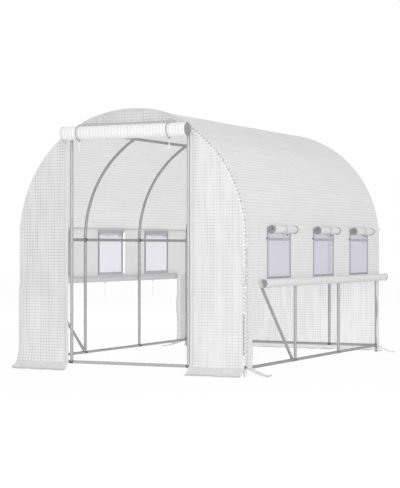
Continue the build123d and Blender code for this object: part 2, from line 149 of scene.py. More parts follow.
# Frame: round steel tube, 25 mm across, cut, swaged and bent cold after hot-dip galvanising. The CAD solids
# stay as they are and take a zinc finish. The film scatters so much light that tubes behind it hardly show,
# so they throw no shadow on it.
tube_radius = 0.0125
bow_radius = 0.985
shoulder = 1.047
rows = (-1.485, -0.495, 0.495, 1.485)
front_row, second_row, third_row, rear_row = rows
rail_height = 0.062
arches = ("front", "second", "third", "rear")
tube_nodes = [f"{arch}_arch_{part}" for arch in arches for part in ("legs", "bow")]
tube_nodes += [f"{wall}_base_rail" for wall in ("left", "right", "front", "rear")]
tube_nodes += ["shoulder_purlins", "roof_purlins", "door_posts", "rear_posts", "side_braces"]


def zinc_finish(name, pale, dark, roughness):
    """Galvanised steel: a soft grey shine, broken up by zinc crystals that differ in tone and in gloss."""
    crystal_size, stain_size, scuff_size = 0.009, 0.12, 0.004
    gloss_range = 0.12
    material, tree = blank_material(name)
    place = add_node(tree, "ShaderNodeTexCoord", {}, {}).outputs["Object"]
    crystals = add_node(
        tree, "ShaderNodeTexVoronoi", {"feature": "F1"}, {"Vector": place, "Scale": 1 / crystal_size}
    )
    tone = add_node(tree, "ShaderNodeSeparateColor", {}, {0: crystals.outputs["Color"]})
    stains, scuffs = (
        add_node(tree, "ShaderNodeTexNoise", {}, {"Vector": place, "Scale": 1 / size, "Detail": detail})
        for size, detail in ((stain_size, 3.0), (scuff_size, 2.0))
    )
    mottle = -0.05
    for source, share in ((stains, 0.7), (tone, 0.5)):
        mottle = add_node(
            tree, "ShaderNodeMath", {"operation": "MULTIPLY_ADD", "use_clamp": True},
            {0: source, 1: share, 2: mottle},
        )
    colour = add_node(
        tree, "ShaderNodeMix", {"data_type": "RGBA"}, {0: mottle, 6: linear(pale), 7: linear(dark)}
    )
    gloss = add_node(
        tree, "ShaderNodeMath", {"operation": "MULTIPLY_ADD"},
        {0: tone.outputs[1], 1: gloss_range, 2: roughness - gloss_range / 2},
    )
    skin = add_node(tree, "ShaderNodeBump", {}, {"Strength": 0.12, "Distance": 0.0004, "Height": scuffs})
    zinc = add_node(
        tree, "ShaderNodeBsdfPrincipled", {},
        {"Base Color": colour.outputs[2], "Metallic": 0.85, "Roughness": gloss, "Normal": skin},
    )
    add_node(tree, "ShaderNodeOutputMaterial", {}, {"Surface": zinc})
    return material


def throw_no_shadow(piece):
    """Keeps a piece behind the film from shading it."""
    piece.visible_diffuse = False
    piece.visible_transmission = False
    piece.visible_shadow = False


galvanised_tube = zinc_finish("galvanised_steel_spangled", "#B8B8B8", "#9A9A9A", 0.36)
# The front base rail and the right door post take paler copies of the zinc: painted light where the lamps fall
# on them. The right post's copy is also rougher. The right base rail takes a darker copy: painted shade.
tube_finishes = {
    "front_base_rail": [zinc_finish("galvanised_steel_painted_light", "#C4C4C4", "#ABABAB", 0.36)],
    "door_posts": [galvanised_tube, zinc_finish("galvanised_steel_dull_painted_light", "#CCCCCC", "#BABABA", 0.55)],
    "right_base_rail": [zinc_finish("galvanised_steel_painted_shade", "#A2A2A2", "#868686", 0.36)],
}
for node in tube_nodes:
    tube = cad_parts[node]
    tube.data.materials.clear()
    for finish in tube_finishes.get(node, [galvanised_tube]):
        tube.data.materials.append(finish)
    if node == "door_posts":
        # The right door post takes the paler, rougher copy: painted light.
        right_post = [int(face.center.x > 0) for face in tube.data.polygons]
        tube.data.polygons.foreach_set("material_index", right_post)
    throw_no_shadow(tube)

# Joint clips: a pressed steel clip round the leg wherever a rail or purlin meets it, closed by a
# hexagon-headed bolt with a washer on the inside of the tunnel. The pressed steel is duller and darker than
# the tubes.
clip_height, clip_wall = 0.032, 0.0008
washer_radius, washer_thickness = 0.0075, 0.0024
head_radius, head_height = 0.0055, 0.011
purlin_height = shoulder - 0.009
brace_top = shoulder - 0.085
brace_foot = second_row - 0.055
door_post_places = (-0.530, 0.508)
rear_post_places = (-0.520, 0.520)
clip_steel = zinc_finish("pressed_steel_dull_zinc", "#787878", "#5E5E5E", 0.46)


def node_tree(name, sizes, finish):
    """An empty Geometry Nodes tree: geometry, named sizes and a material go in, and geometry comes out."""
    tree = bpy.data.node_groups.new(name, "GeometryNodeTree")
    tree.interface.new_socket("Geometry", in_out="INPUT", socket_type="NodeSocketGeometry")
    for label in sizes:
        tree.interface.new_socket(label, in_out="INPUT", socket_type="NodeSocketFloat")
    tree.interface.new_socket(finish, in_out="INPUT", socket_type="NodeSocketMaterial")
    tree.interface.new_socket("Geometry", in_out="OUTPUT", socket_type="NodeSocketGeometry")
    return tree, add_node(tree, "NodeGroupInput", {}, {}).outputs


def finish_tree(tree, instances, finish):
    """Ends a tree: its instances are made real and take their material."""
    real = add_node(tree, "GeometryNodeRealizeInstances", {}, {"Geometry": instances})
    coated = add_node(tree, "GeometryNodeSetMaterial", {}, {"Geometry": real, "Material": finish})
    add_node(tree, "NodeGroupOutput", {}, {0: coated})


def grown(name, tree, start, values):
    """The piece that a tree makes from a starting mesh, as a plain mesh object at the origin."""
    seed = add_object(f"{name}_start", start)
    modifier = seed.modifiers.new("tree", "NODES")
    modifier.node_group = tree
    sockets = {item.name: item.identifier for item in tree.interface.items_tree if item.in_out == "INPUT"}
    for label, value in values.items():
        modifier[sockets[label]] = value
    bpy.context.view_layer.update()
    mesh = bpy.data.meshes.new_from_object(seed.evaluated_get(bpy.context.evaluated_depsgraph_get()))
    seed.modifiers.remove(modifier)
    bpy.data.objects.remove(seed)
    mesh.name = name
    return add_object(name, mesh)


tree, given = node_tree(
    "joint_clips", ("Clip radius", "Clip height", "Washer radius", "Head radius", "Head height"), "Steel"
)
tube_way, facing = (
    add_node(tree, "GeometryNodeInputNamedAttribute", {"data_type": "FLOAT_VECTOR"}, {"Name": label})
    for label in ("tube_way", "facing")
)
upright = add_node(tree, "FunctionNodeAlignRotationToVector", {"axis": "Z"}, {"Vector": tube_way})
turn = add_node(
    tree, "FunctionNodeAlignRotationToVector", {"axis": "X", "pivot_axis": "Z"},
    {"Rotation": upright, "Vector": facing},
)
lying = add_node(tree, "FunctionNodeEulerToRotation", {}, {0: (0.0, math.pi / 2, 0.0)})
head_out = add_node(
    tree, "ShaderNodeMath", {"operation": "MULTIPLY_ADD"},
    {0: given["Head height"], 1: 0.5, 2: given["Clip radius"]},
)
clip = add_node(tree, "GeometryNodeJoinGeometry", {}, {})
for sides, radius, depth, out in (
    (6, given["Head radius"], given["Head height"], head_out),
    (16, given["Washer radius"], washer_thickness, given["Clip radius"]),
):
    disc = add_node(
        tree, "GeometryNodeMeshCylinder", {}, {"Vertices": sides, "Radius": radius, "Depth": depth}
    )
    spot = add_node(tree, "ShaderNodeCombineXYZ", {}, {"X": out})
    seated = add_node(
        tree, "GeometryNodeTransform", {}, {"Geometry": disc, "Translation": spot, "Rotation": lying}
    )
    tree.links.new(seated.outputs[0], clip.inputs[0])
band_ring = add_node(
    tree, "GeometryNodeMeshCylinder", {"fill_type": "NONE"},
    {"Vertices": 20, "Radius": given["Clip radius"], "Depth": given["Clip height"]},
)
tree.links.new(band_ring.outputs[0], clip.inputs[0])
clips = add_node(
    tree, "GeometryNodeInstanceOnPoints", {},
    {"Points": given["Geometry"], "Instance": clip, "Rotation": turn},
)
finish_tree(tree, clips, given["Steel"])

up, lengthwise, crosswise = (0.0, 0.0, 1.0), (0.0, 1.0, 0.0), (1.0, 0.0, 0.0)
clip_places = []
for side in (-1, 1):
    inside = (-side, 0.0, 0.0)
    wall = side * bow_radius
    clip_places += [((wall, row, purlin_height), inside, up) for row in rows]
    clip_places += [((wall, row, rail_height), inside, up) for row in (front_row, rear_row)]
    clip_places += [((wall, row, rail_height), inside, lengthwise) for row in (second_row, third_row)]
    clip_places.append(((wall, front_row, brace_top), inside, up))
clip_places.append(((bow_radius, brace_foot, rail_height), (-1.0, 0.0, 0.0), lengthwise))
for row, posts, inward in ((front_row, door_post_places, 1.0), (rear_row, rear_post_places, -1.0)):
    clip_places += [((post, row, rail_height), (0.0, inward, 0.0), crosswise) for post in posts]
clip_start = bpy.data.meshes.new("clip_places")
clip_start.from_pydata([place for place, _, _ in clip_places], [], [])
for label, number in (("facing", 1), ("tube_way", 2)):
    ways = clip_start.attributes.new(label, "FLOAT_VECTOR", "POINT")
    ways.data.foreach_set("vector", np.array([entry[number] for entry in clip_places], np.float32).ravel())
joint_clips = grown(
    "joint_clips", tree, clip_start,
    {
        "Clip radius": tube_radius + clip_wall, "Clip height": clip_height, "Washer radius": washer_radius,
        "Head radius": head_radius, "Head height": head_height, "Steel": clip_steel,
    },
)
throw_no_shadow(joint_clips)
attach(joint_clips, "root")

# Roof: one sheet of white film with a woven grid of flat threads, laid over the bows and purlins with some
# slack, so that it stands off them a little, most at its ends, and is pulled out of true to the right of the
# front crown.
film_radius = 0.9998
film_lift, lift_run = 0.009, 0.12
film_gap = 0.0014
end_film = 1.4998
seam_angle = math.radians(5.33)
thread_pitch = (0.0257, 0.023)
wide_pitch = (0.0279, 0.023)
rng = np.random.default_rng(11)


def woven_film(name, cell, thread, thread_width, through, cloud, ways=(0, 1), pitch=thread_pitch, faint=0.2):
    """Polythene film with white tape woven in: a flat gloss, pale cells, threads that shade the light.

    The grid follows the sheet's own flat cut in metres. The threads are drawn a little wider than life to
    show, and fade in streaks to the given share. A haze clouds the film."""
    streak_size, haze_size = (0.05, 0.4), 0.3
    low, high, streak_high = 0.3, 0.7, 0.65
    glossiest, dullest = 0.42, 0.55
    material, tree = blank_material(name)
    cut = add_node(tree, "ShaderNodeUVMap", {"uv_map": "cut"}, {})
    across = add_node(tree, "ShaderNodeSeparateXYZ", {}, {0: cut})
    ridges = []
    for way in ways:
        step = add_node(
            tree, "ShaderNodeMath", {"operation": "MULTIPLY"}, {0: across.outputs[way], 1: 1 / pitch[way]}
        )
        spot = add_node(tree, "ShaderNodeMath", {"operation": "FRACT"}, {0: step})
        off = add_node(tree, "ShaderNodeMath", {"operation": "SUBTRACT"}, {0: spot, 1: 0.5})
        away = add_node(tree, "ShaderNodeMath", {"operation": "ABSOLUTE"}, {0: off})
        ridge = add_node(
            tree, "ShaderNodeMapRange", {"interpolation_type": "SMOOTHSTEP"},
            {0: away, 1: 0.0, 2: thread_width / pitch[way], 3: 1.0, 4: 0.0},
        )
        ridges.append(ridge)
    grid = add_node(tree, "ShaderNodeMath", {"operation": "MAXIMUM"}, {0: ridges[0], 1: ridges[-1]})
    drawn = add_node(
        tree, "ShaderNodeMapping", {}, {"Vector": cut, "Scale": (1 / streak_size[0], 1 / streak_size[1], 1.0)}
    )
    streaks = add_node(tree, "ShaderNodeTexNoise", {}, {"Vector": drawn, "Scale": 1.0, "Detail": 2.0})
    depth = add_node(tree, "ShaderNodeMapRange", {}, {0: streaks, 1: low, 2: streak_high, 3: faint, 4: 1.0})
    tinted = add_node(tree, "ShaderNodeMath", {"operation": "MULTIPLY"}, {0: grid, 1: depth})
    place = add_node(tree, "ShaderNodeTexCoord", {}, {}).outputs["Object"]
    haze = add_node(tree, "ShaderNodeTexNoise", {}, {"Vector": place, "Scale": 1 / haze_size, "Detail": 3.0})
    wear = add_node(tree, "ShaderNodeMapRange", {}, {0: haze, 1: low, 2: high, 3: 0.0, 4: cloud})
    shade = add_node(tree, "ShaderNodeMath", {"operation": "MAXIMUM"}, {0: tinted, 1: wear})
    mixed = add_node(
        tree, "ShaderNodeMix", {"data_type": "RGBA"}, {0: shade, 6: linear(cell), 7: linear(thread)}
    )
    colour = mixed.outputs[2]
    relief = add_node(tree, "ShaderNodeBump", {}, {"Strength": 0.25, "Distance": 0.0008, "Height": grid})
    gloss = add_node(
        tree, "ShaderNodeMapRange", {}, {0: haze, 1: low, 2: high, 3: glossiest, 4: dullest}
    )
    face = add_node(
        tree, "ShaderNodeBsdfPrincipled", {},
        {"Base Color": colour, "Roughness": gloss, "IOR": 1.5, "Specular IOR Level": 0.3, "Normal": relief},
    )
    lit = add_node(tree, "ShaderNodeBsdfTranslucent", {}, {"Color": colour, "Normal": relief})
    film = add_node(tree, "ShaderNodeMixShader", {}, {0: through, 1: face, 2: lit})
    add_node(tree, "ShaderNodeOutputMaterial", {}, {"Surface": film})
    return material


def grid_of(first, second):
    """Two arrays over a grid of points: the first value changes from row to row, the second along a row."""
    return np.meshgrid(first, second, indexing="ij")


def stacked(*values):
    """Coordinates put together as points."""
    return np.stack(np.broadcast_arrays(*values), axis=-1)


def turned_over(patch, turned=True):
    """A patch with its faces turned to the other side, where it has to be."""
    if not turned:
        return patch
    return tuple(part if part is None or np.isscalar(part) else part[::-1] for part in patch)


def film_piece(name, patches, materials):
    """A piece of film from patches: a grid of points, its flat cut, the cells kept, its materials' numbers."""
    corners, cuts, faces, finish = [], [], [], []
    count = 0
    for points, cut, keep, number in patches:
        tall, wide = points.shape[:2]
        index = count + np.arange(tall * wide).reshape(tall, wide)
        quads = stacked(index[:-1, :-1], index[1:, :-1], index[1:, 1:], index[:-1, 1:])
        quads = quads.reshape(-1, 4) if keep is None else quads[keep]
        corners.append(points.reshape(-1, 3))
        cuts.append(cut.reshape(-1, 2))
        faces.append(quads)
        finish.append(np.full(len(quads), number) if np.isscalar(number) else number.reshape(-1))
        count += tall * wide
    corners, cuts, faces = np.concatenate(corners), np.concatenate(cuts), np.concatenate(faces)
    used, faces = np.unique(faces, return_inverse=True)
    faces = faces.reshape(-1, 4)
    mesh = bpy.data.meshes.new(name)
    mesh.from_pydata(corners[used].tolist(), [], faces.tolist())
    mesh.polygons.foreach_set("material_index", np.concatenate(finish).astype(np.int32))
    mesh.polygons.foreach_set("use_smooth", np.ones(len(faces), bool))
    layer = mesh.uv_layers.new(name="cut")
    layer.data.foreach_set("uv", cuts[used][faces.reshape(-1)].astype(np.float32).ravel())
    for material in materials:
        mesh.materials.append(material)
    piece = add_object(name, mesh)
    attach(piece, "root")
    return piece


def ripples(u, v, shortest, longest, lean, count):
    """Gentle waves in a sheet, from -1 to 1: a sum of sines of mixed lengths whose crests lean one way."""
    total = np.zeros_like(u)
    for _ in range(count):
        length = rng.uniform(shortest, longest)
        heading = lean + rng.normal(0.0, 0.35)
        run = (u * math.cos(heading) + v * math.sin(heading)) * 2 * math.pi / length
        total += np.sin(run + rng.uniform(0, 2 * math.pi))
    return total / count


def pressed_folds(u, v, folds):
    """Long soft folds, each from one point of the sheet to another with its own width and height."""
    total = np.zeros_like(u)
    for (u0, v0), (u1, v1), width, height in folds:
        run = np.array((u1 - u0, v1 - v0))
        length = np.hypot(*run)
        along = ((u - u0) * run[0] + (v - v0) * run[1]) / length
        aside = ((u - u0) * run[1] - (v - v0) * run[0]) / length
        fade = np.clip(np.sin(np.clip(along / length, 0, 1) * math.pi), 0, 1) ** 0.6
        total += height * fade * np.exp(-((aside / width) ** 2))
    return total


def swell(value, middle, spread):
    """A soft bump, 1 at its middle and fading away on both sides."""
    return np.exp(-(((value - middle) / spread) ** 2))


def bay_sag(along):
    """How far along a place is between two bows: 0 at a bow and 1 midway."""
    bay = np.clip((along - front_row) / (second_row - front_row), 0, len(rows) - 1 - 1e-5)
    return 4 * (bay % 1) * (1 - bay % 1)


def end_lift(along):
    """How near a place is to an end of the tunnel: 1 at the end, 0 from the lift's run inwards."""
    return np.clip(1 - (end_film - np.abs(along)) / lift_run, 0, 1)


pull_height, pull_angle, pull_spread, pull_run = 0.012, math.radians(72), math.radians(14), 0.5


def rim(turn, end):
    """The reach of the film over an end arch, by the angle round the arch."""
    pulled = pull_height * swell(turn, pull_angle, pull_spread)
    return film_radius + film_lift + (pulled if end < 0 else 0)


dusty_film = woven_film("polythene_film_woven_dusty", "#F2F2F2", "#D8D8D8", 0.0055, 0.5, 0.2, faint=0.6)
roof_sag, wrinkle_height, slack_height, highest_wrinkle = 0.003, 0.0009, 0.0018, 0.0015
fine_wrinkles, long_slack = (0.05, 0.16, 0.4, 14), (0.2, 0.5, 1.2, 9)
roof_freedom, seam_run = 1.5, 0.3
purlin_angles = (math.radians(60), math.radians(120))
turn, along = grid_of(
    np.linspace(seam_angle, math.pi - seam_angle, 250), np.linspace(-end_film, end_film, 256)
)
sag = roof_sag * bay_sag(along) * np.abs(np.sin(3 * turn)) ** 0.7
free = np.clip(bay_sag(along) * roof_freedom, 0, 1)
wrinkle = wrinkle_height * free * ripples(turn * film_radius, along, *fine_wrinkles)
slack = slack_height * free * ripples(turn * film_radius, along, *long_slack)
rise = np.minimum(turn - seam_angle, math.pi - seam_angle - turn)
near_front = np.clip(1 - (along + end_film) / pull_run, 0, 1) ** 1.5
lift = film_lift * np.maximum(np.clip(rise / seam_run, 0, 1), end_lift(along))
lift = lift + near_front * (rim(turn, -1) - rim(turn, 1))
reach = film_radius + lift - sag + np.minimum(wrinkle + slack, highest_wrinkle + sag)
from_purlin = np.min([np.abs(turn - angle) for angle in purlin_angles], axis=0) * bow_radius
from_bow = np.min([np.abs(along - row) for row in rows], axis=0)
for away in (from_purlin, from_bow):
    over_tube = bow_radius + np.sqrt(np.clip(tube_radius**2 - away**2, 0, None)) + film_gap
    reach = np.where(away < tube_radius, np.maximum(reach, over_tube), reach)
points = stacked(reach * np.cos(turn), along, shoulder + reach * np.sin(turn))
cut = stacked(turn * film_radius, along)
roof = film_piece("roof_sheet", [turned_over((points, cut, None, 0))], [dusty_film])
roof_nodes = ("roof_right_lower", "roof_right_upper", "roof_crown", "roof_left_upper", "roof_left_lower")
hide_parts(*roof_nodes)

# Window bands: the walls below the roof seam, film again, welded to the roof along a lapped strip and cut out
# for three windows a side. The lower edge hangs just behind the wound-up side. One opening of the left wall
# is cut too long, and daylight shows in a slit beside its net.
walls = (("right", 1), ("left", -1))
band_bottom = shoulder - 0.345
seam_height = shoulder + film_radius * math.sin(seam_angle)
window_width = 0.455
window_sill = shoulder - 0.309
window_head = shoulder + 0.065
arch_pitch, window_share = 0.99, 0.929
window_pitch = window_share * arch_pitch
window_shift = 0.055
window_steps = (-1, 0.05, 1)
windows = {
    name: [side * window_shift + step * window_pitch for step in window_steps] for name, side in walls
}
openings = {
    name: [(middle - window_width / 2, middle + window_width / 2) for middle in middles]
    for name, middles in windows.items()
}
net_slit = 0.027
slit_edge = openings["left"][1][0]
openings["left"][1] = (slit_edge, openings["left"][1][1] + net_slit)
side_roll_height = band_bottom - 0.005
film_step = 0.012
wall_slack, low_wall_slack, wall_waves = 0.0012, 0.004, (0.12, 0.45, 0.2, 10)
wall_freedom, low_run, sewn_run, roll_run = 1.4, 0.25, 0.06, 0.06
lap_half, lap_ends = 0.013, (-end_film - 0.02, end_film + 0.06)
lap_rise, pucker_rise, pucker_pitch = 0.0012, 0.0006, 0.046


def wall_lift(side, along, height):
    """How far the slack film of a long wall stands off the legs: most at its ends, tight behind a roll."""
    rolled = swell(height, side_roll_height, roll_run) * (side * along > 0)
    return film_lift * end_lift(along) * (1 - rolled)


def wall_points(side, along, height, out):
    """Points on a long wall: upright to the shoulder, then following the bows."""
    over = np.clip(height - shoulder, 0, None)
    return stacked(side * (np.sqrt(film_radius**2 - over**2) + out), along, height)


def stations(low, high, fixed):
    """Even steps from low to high that also pass through the fixed places."""
    marks = sorted({low, high, *[mark for mark in fixed if low < mark < high]})
    runs = [np.linspace(a, b, max(1, round((b - a) / film_step)) + 1)[:-1] for a, b in zip(marks, marks[1:])]
    return np.concatenate(runs + [[high]])


# Two layers at the weld look whiter. The left wall, seen from inside, is drawn greyer and with fainter
# threads: painted shade on the sheet's inner side.
inside_shade_film = woven_film("polythene_film_woven_painted_inside_shade", "#E6E6E6", "#DCDCDC", 0.0055, 0.5, 0.2)
seam_film = woven_film("polythene_film_welded_seam", "#F6F6F6", "#EAEAEA", 0.003, 0.45, 0.4)
for name, side in walls:
    height, along = grid_of(
        stations(band_bottom, seam_height, (window_sill, window_head, shoulder)),
        stations(-end_film, end_film, [edge for opening in openings[name] for edge in opening]),
    )
    free = np.clip(bay_sag(along) * wall_freedom, 0, 1)
    low_slack = np.clip((purlin_height - height) / low_run, 0, 1)
    middle_along = (along[:-1, :-1] + along[1:, 1:]) / 2
    middle_height = (height[:-1, :-1] + height[1:, 1:]) / 2
    sewn = np.ones_like(along)
    keep = np.ones(middle_along.shape, bool)
    for low, high in openings[name]:
        aside = np.clip(np.maximum(low - along, along - high), 0, None)
        above = np.clip(np.maximum(window_sill - height, height - window_head), 0, None)
        sewn = np.minimum(sewn, np.clip(np.hypot(aside, above) / sewn_run, 0, 1))
        inside = (middle_along > low) & (middle_along < high)
        keep &= ~(inside & (middle_height > window_sill) & (middle_height < window_head))
    out = sewn * free * (wall_slack + low_wall_slack * low_slack) * ripples(along, height, *wall_waves)
    points = wall_points(side, along, height, out + wall_lift(side, along, height))
    lap_height, lap_along = grid_of(
        np.linspace(seam_height - lap_half, seam_height + lap_half, 4), np.linspace(*lap_ends, 200)
    )
    pucker = lap_rise + pucker_rise * np.sin(lap_along * 2 * math.pi / pucker_pitch)
    lap = wall_points(side, lap_along, lap_height, pucker + wall_lift(side, lap_along, lap_height))
    patches = [(points, stacked(along, height), keep, 0), (lap, stacked(lap_along, lap_height), None, 1)]
    band = film_piece(
        f"{name}_window_band_film", [turned_over(patch, side > 0) for patch in patches],
        [dusty_film if side > 0 else inside_shade_film, seam_film],
    )
    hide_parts(f"{name}_window_band")


# Window nets: fine white-lilac insect netting sewn into the windows behind a folded binding tape. On the right
# wall a band across each net at the shoulder purlin's height is drawn darker and closer: painted shade of the
# purlin behind it. The left wall's nets, seen from inside, are drawn paler and more open: painted light from
# behind.
# The net beside the slit in the left wall is cut narrow as well.
def insect_net(name, yarn, gap, hole):
    """Knitted insect netting: a haze of fine threads that lets part of the light through.

    The mesh is 1.5 mm in life and is drawn at 5 mm so that it shows."""
    drawn_mesh, drawn_yarn, through = 0.005, 0.0009, 0.6
    material, tree = blank_material(name)
    cut = add_node(tree, "ShaderNodeUVMap", {"uv_map": "cut"}, {})
    weave = add_node(
        tree, "ShaderNodeTexBrick", {"offset": 0.0, "squash": 1.0},
        {
            "Vector": cut, "Scale": 1.0, "Brick Width": drawn_mesh, "Row Height": drawn_mesh,
            "Mortar Size": drawn_yarn, "Mortar Smooth": 0.6, "Color1": linear(gap), "Color2": linear(gap),
            "Mortar": linear(yarn),
        },
    )
    face = add_node(
        tree, "ShaderNodeBsdfPrincipled", {},
        {"Base Color": weave, "Roughness": 0.7, "Specular IOR Level": 0.2},
    )
    lit = add_node(tree, "ShaderNodeBsdfTranslucent", {}, {"Color": weave})
    cloth = add_node(tree, "ShaderNodeMixShader", {}, {0: through, 1: face, 2: lit})
    clear = add_node(tree, "ShaderNodeBsdfTransparent", {}, {"Color": linear("#FFFFFF")})
    net = add_node(tree, "ShaderNodeMixShader", {}, {0: hole, 1: cloth, 2: clear})
    add_node(tree, "ShaderNodeOutputMaterial", {}, {"Surface": net})
    return material


window_net = insect_net("knitted_insect_net_lilac", "#D2CFDD", "#E6E4EC", 0.2)
lit_net = insect_net("knitted_insect_net_painted_backlit", "#DAD8E4", "#ECEAF2", 0.3)
purlin_shade_net = insect_net("knitted_insect_net_painted_purlin_shade", "#B6B3C1", "#C6C4CE", 0.1)
purlin_shade_height, purlin_shade_half = 1.036, 0.0105
net_sink, net_slack, net_waves = 0.0012, 0.0028, (0.12, 0.3, 0.3, 6)
net_spans = {name: [(low, low + window_width) for low, _ in openings[name]] for name, _ in walls}
net_spans["left"][1] = (slit_edge, slit_edge + window_width - net_slit)
for name, side in walls:
    patches = []
    for low, high in net_spans[name]:
        share_up, share_along = grid_of(np.linspace(0, 1, 36), np.linspace(0, 1, 32))
        height = window_sill + share_up * (window_head - window_sill)
        along = low + share_along * (high - low)
        edge = np.clip(16 * share_up * (1 - share_up) * share_along * (1 - share_along), 0, 1)
        out = net_slack * edge * ripples(along, height, *net_waves) - net_sink
        points = wall_points(side, along, height, out)
        # On the right wall the cells at the purlin's height take the darker net: painted shade of the purlin
        # behind.
        doubled = (np.abs(height[:-1, :-1] - purlin_shade_height) < purlin_shade_half).astype(int) if side > 0 else 0
        patches.append(turned_over((points, stacked(along, height), None, doubled), side > 0))
    nets = film_piece(f"{name}_insect_nets", patches, [window_net if side > 0 else lit_net, purlin_shade_net])
    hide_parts(f"{name}_window_nets")


# Window bindings: grey-lilac woven tape folded over the raw edge of each window and sewn through, proud on
# both faces of the film and mitred at the corners. On the left wall the tape is drawn paler along sill and
# head: painted light where its inner face lies unlit.
def woven_tape(name, warp, weft, rib):
    """Flat woven polyester tape: matt, with ribs across it 1.2 mm apart in life, drawn wider to show."""
    material, tree = blank_material(name)
    place = add_node(tree, "ShaderNodeTexCoord", {}, {}).outputs["Object"]
    ribs = add_node(tree, "ShaderNodeTexNoise", {}, {"Vector": place, "Scale": 1 / rib, "Detail": 2.0})
    colour = add_node(
        tree, "ShaderNodeMix", {"data_type": "RGBA"}, {0: ribs, 6: linear(warp), 7: linear(weft)}
    )
    relief = add_node(tree, "ShaderNodeBump", {}, {"Strength": 0.4, "Distance": 0.0006, "Height": ribs})
    cloth = add_node(
        tree, "ShaderNodeBsdfPrincipled", {},
        {
            "Base Color": colour.outputs[2], "Roughness": 0.75, "Specular IOR Level": 0.2,
            "Sheen Weight": 0.1, "Normal": relief,
        },
    )
    add_node(tree, "ShaderNodeOutputMaterial", {}, {"Surface": cloth})
    return material


def window_ring(low, high, steps):
    """Points along and up round a window, from one corner of the sill round to it again."""
    corners = [(low, window_sill), (high, window_sill), (high, window_head), (low, window_head)]
    ends = zip(corners, corners[1:] + corners[:1])
    return np.concatenate([np.linspace(start, stop, steps + 1)[:-1] for start, stop in ends])


binding_tape = woven_tape("woven_polyester_binding", "#ACAAB4", "#94929D", 0.004)
pale_tape = woven_tape("woven_polyester_lilac_tie_and_painted_light", "#C6C4CE", "#B4B2BE", 0.004)
binding_width, head_width = 0.027, 0.016
sill_widths = {"right": 0.016, "left": 0.025}
binding_rise = 0.0018
binding_step, binding_length = 0.004, 1.6
side_steps = 27
folded_shares = (
    (0.0, -1.0), (0.35, -1.0), (1.0, -0.4), (1.0, 0.4), (0.35, 1.0), (-0.35, 1.0), (-1.0, 0.4),
    (-1.0, -0.4), (-0.35, -1.0), (0.0, -1.0),
)
for name, side in walls:
    patches = []
    for low, high in net_spans[name]:
        ring = window_ring(low, high, side_steps)
        ring = np.concatenate([ring, ring[:1]])
        centre = np.array(((low + high) / 2, (window_sill + window_head) / 2))
        half = np.array(((high - low) / 2, (window_head - window_sill) / 2))
        tape_widths = stacked(binding_width, np.where(ring[:, 1] < centre[1], sill_widths[name], head_width))
        loops = []
        for aside, rise in folded_shares:
            spot = centre + (ring - centre) * (1 + aside * tape_widths / 2 / half)
            loops.append(wall_points(side, spot[:, 0], spot[:, 1], rise * binding_rise))
        rounds = np.arange(len(folded_shares)) * binding_step
        cut = stacked(*grid_of(rounds, np.linspace(0, binding_length, len(ring))))
        flat_run = np.arange(len(ring) - 1) // side_steps % 2 == 0
        # Sill and head of the left windows take the paler tape: painted light.
        paler = np.tile((flat_run & (side < 0)).astype(int), (len(folded_shares) - 1, 1))
        patches.append(turned_over((np.array(loops), cut, None, paler), side > 0))
    bindings = film_piece(f"{name}_window_bindings", patches, [binding_tape, pale_tape])

# Corner strips: the film left standing beside the end legs when the side is wound up. Their free edges hang
# loose and wave a little. The wide one at the rear of the left wall is drawn greyer, as painted shade, all but
# an upright band towards its free edge.
corner_widths = {"right": (0.110, 0.058), "left": (0.110, 0.200)}
panel_bottom = 0.054
loose_out, wave_out, edge_wave = 0.003, 0.006, 0.37
pale_band_share, pale_band_half_share = 0.7, 0.14
hang_out, hang_top, hang_run = 0.010, 0.69, 0.06
flare_out, flare_top, flare_run = 0.022, 0.18, 0.12


def left_flare(height):
    """How far the film of the front left corner hangs out below the roll, and flares at its foot."""
    hang = hang_out * np.clip((hang_top - height) / hang_run, 0, 1)
    return hang + flare_out * np.clip((flare_top - height) / flare_run, 0, 1) ** 2


shaded_film = woven_film("polythene_film_painted_shade_grey", "#E0E0E0", "#CECECE", 0.0055, 0.3, 0.3)
for name, side in walls:
    patches = []
    for end, width in zip((-1, 1), corner_widths[name]):
        share_up, share_along = grid_of(np.linspace(0, 1, 70), np.linspace(0, 1, 14))
        height = panel_bottom + share_up * (band_bottom - panel_bottom)
        along = end * (end_film - share_along * width)
        loose = share_along * np.sin(np.clip(share_up, 0, 1) * math.pi) ** 0.5
        out = loose * (loose_out + wave_out * np.sin(height * 2 * math.pi / edge_wave + end) * share_along)
        if side < 0 and end < 0:
            out += left_flare(height)
        points = wall_points(side, along, height, out + wall_lift(side, along, height))
        # Outside that band the rear left strip takes the grey film: painted shade.
        doubled = (np.abs(share_along[:-1, :-1] - pale_band_share) > pale_band_half_share).astype(int)
        patch = (points, stacked(along, height), None, doubled if side < 0 < end else 0)
        patches.append(turned_over(patch, side * end < 0))
    strips = film_piece(f"{name}_corner_film", patches, [dusty_film, shaded_film])
    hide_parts(f"{name}_corner_strips")

# Front panels: film from the ground to the arch at each side of the doorway, hung a little slack so that soft
# upright folds show, with a doubled hem along the door edge.
door_left, door_right = -0.553, 0.533
door_hem, hem_out, hem_puff, hem_slack = 0.033, 0.0022, 0.0014, 0.004
door_slip, slip_top, slip_run, slip_end, slip_reach = 0.016, 0.12, 0.07, 0.75, 0.25
flare_from, flare_span, sewn_from = 0.8, 0.2, 0.45
panel_slack, panel_waves = 0.0022, (0.14, 0.4, 0.1, 9)
panel_hold, ground_hold = 0.12, 0.15
film_reach = film_radius + film_lift
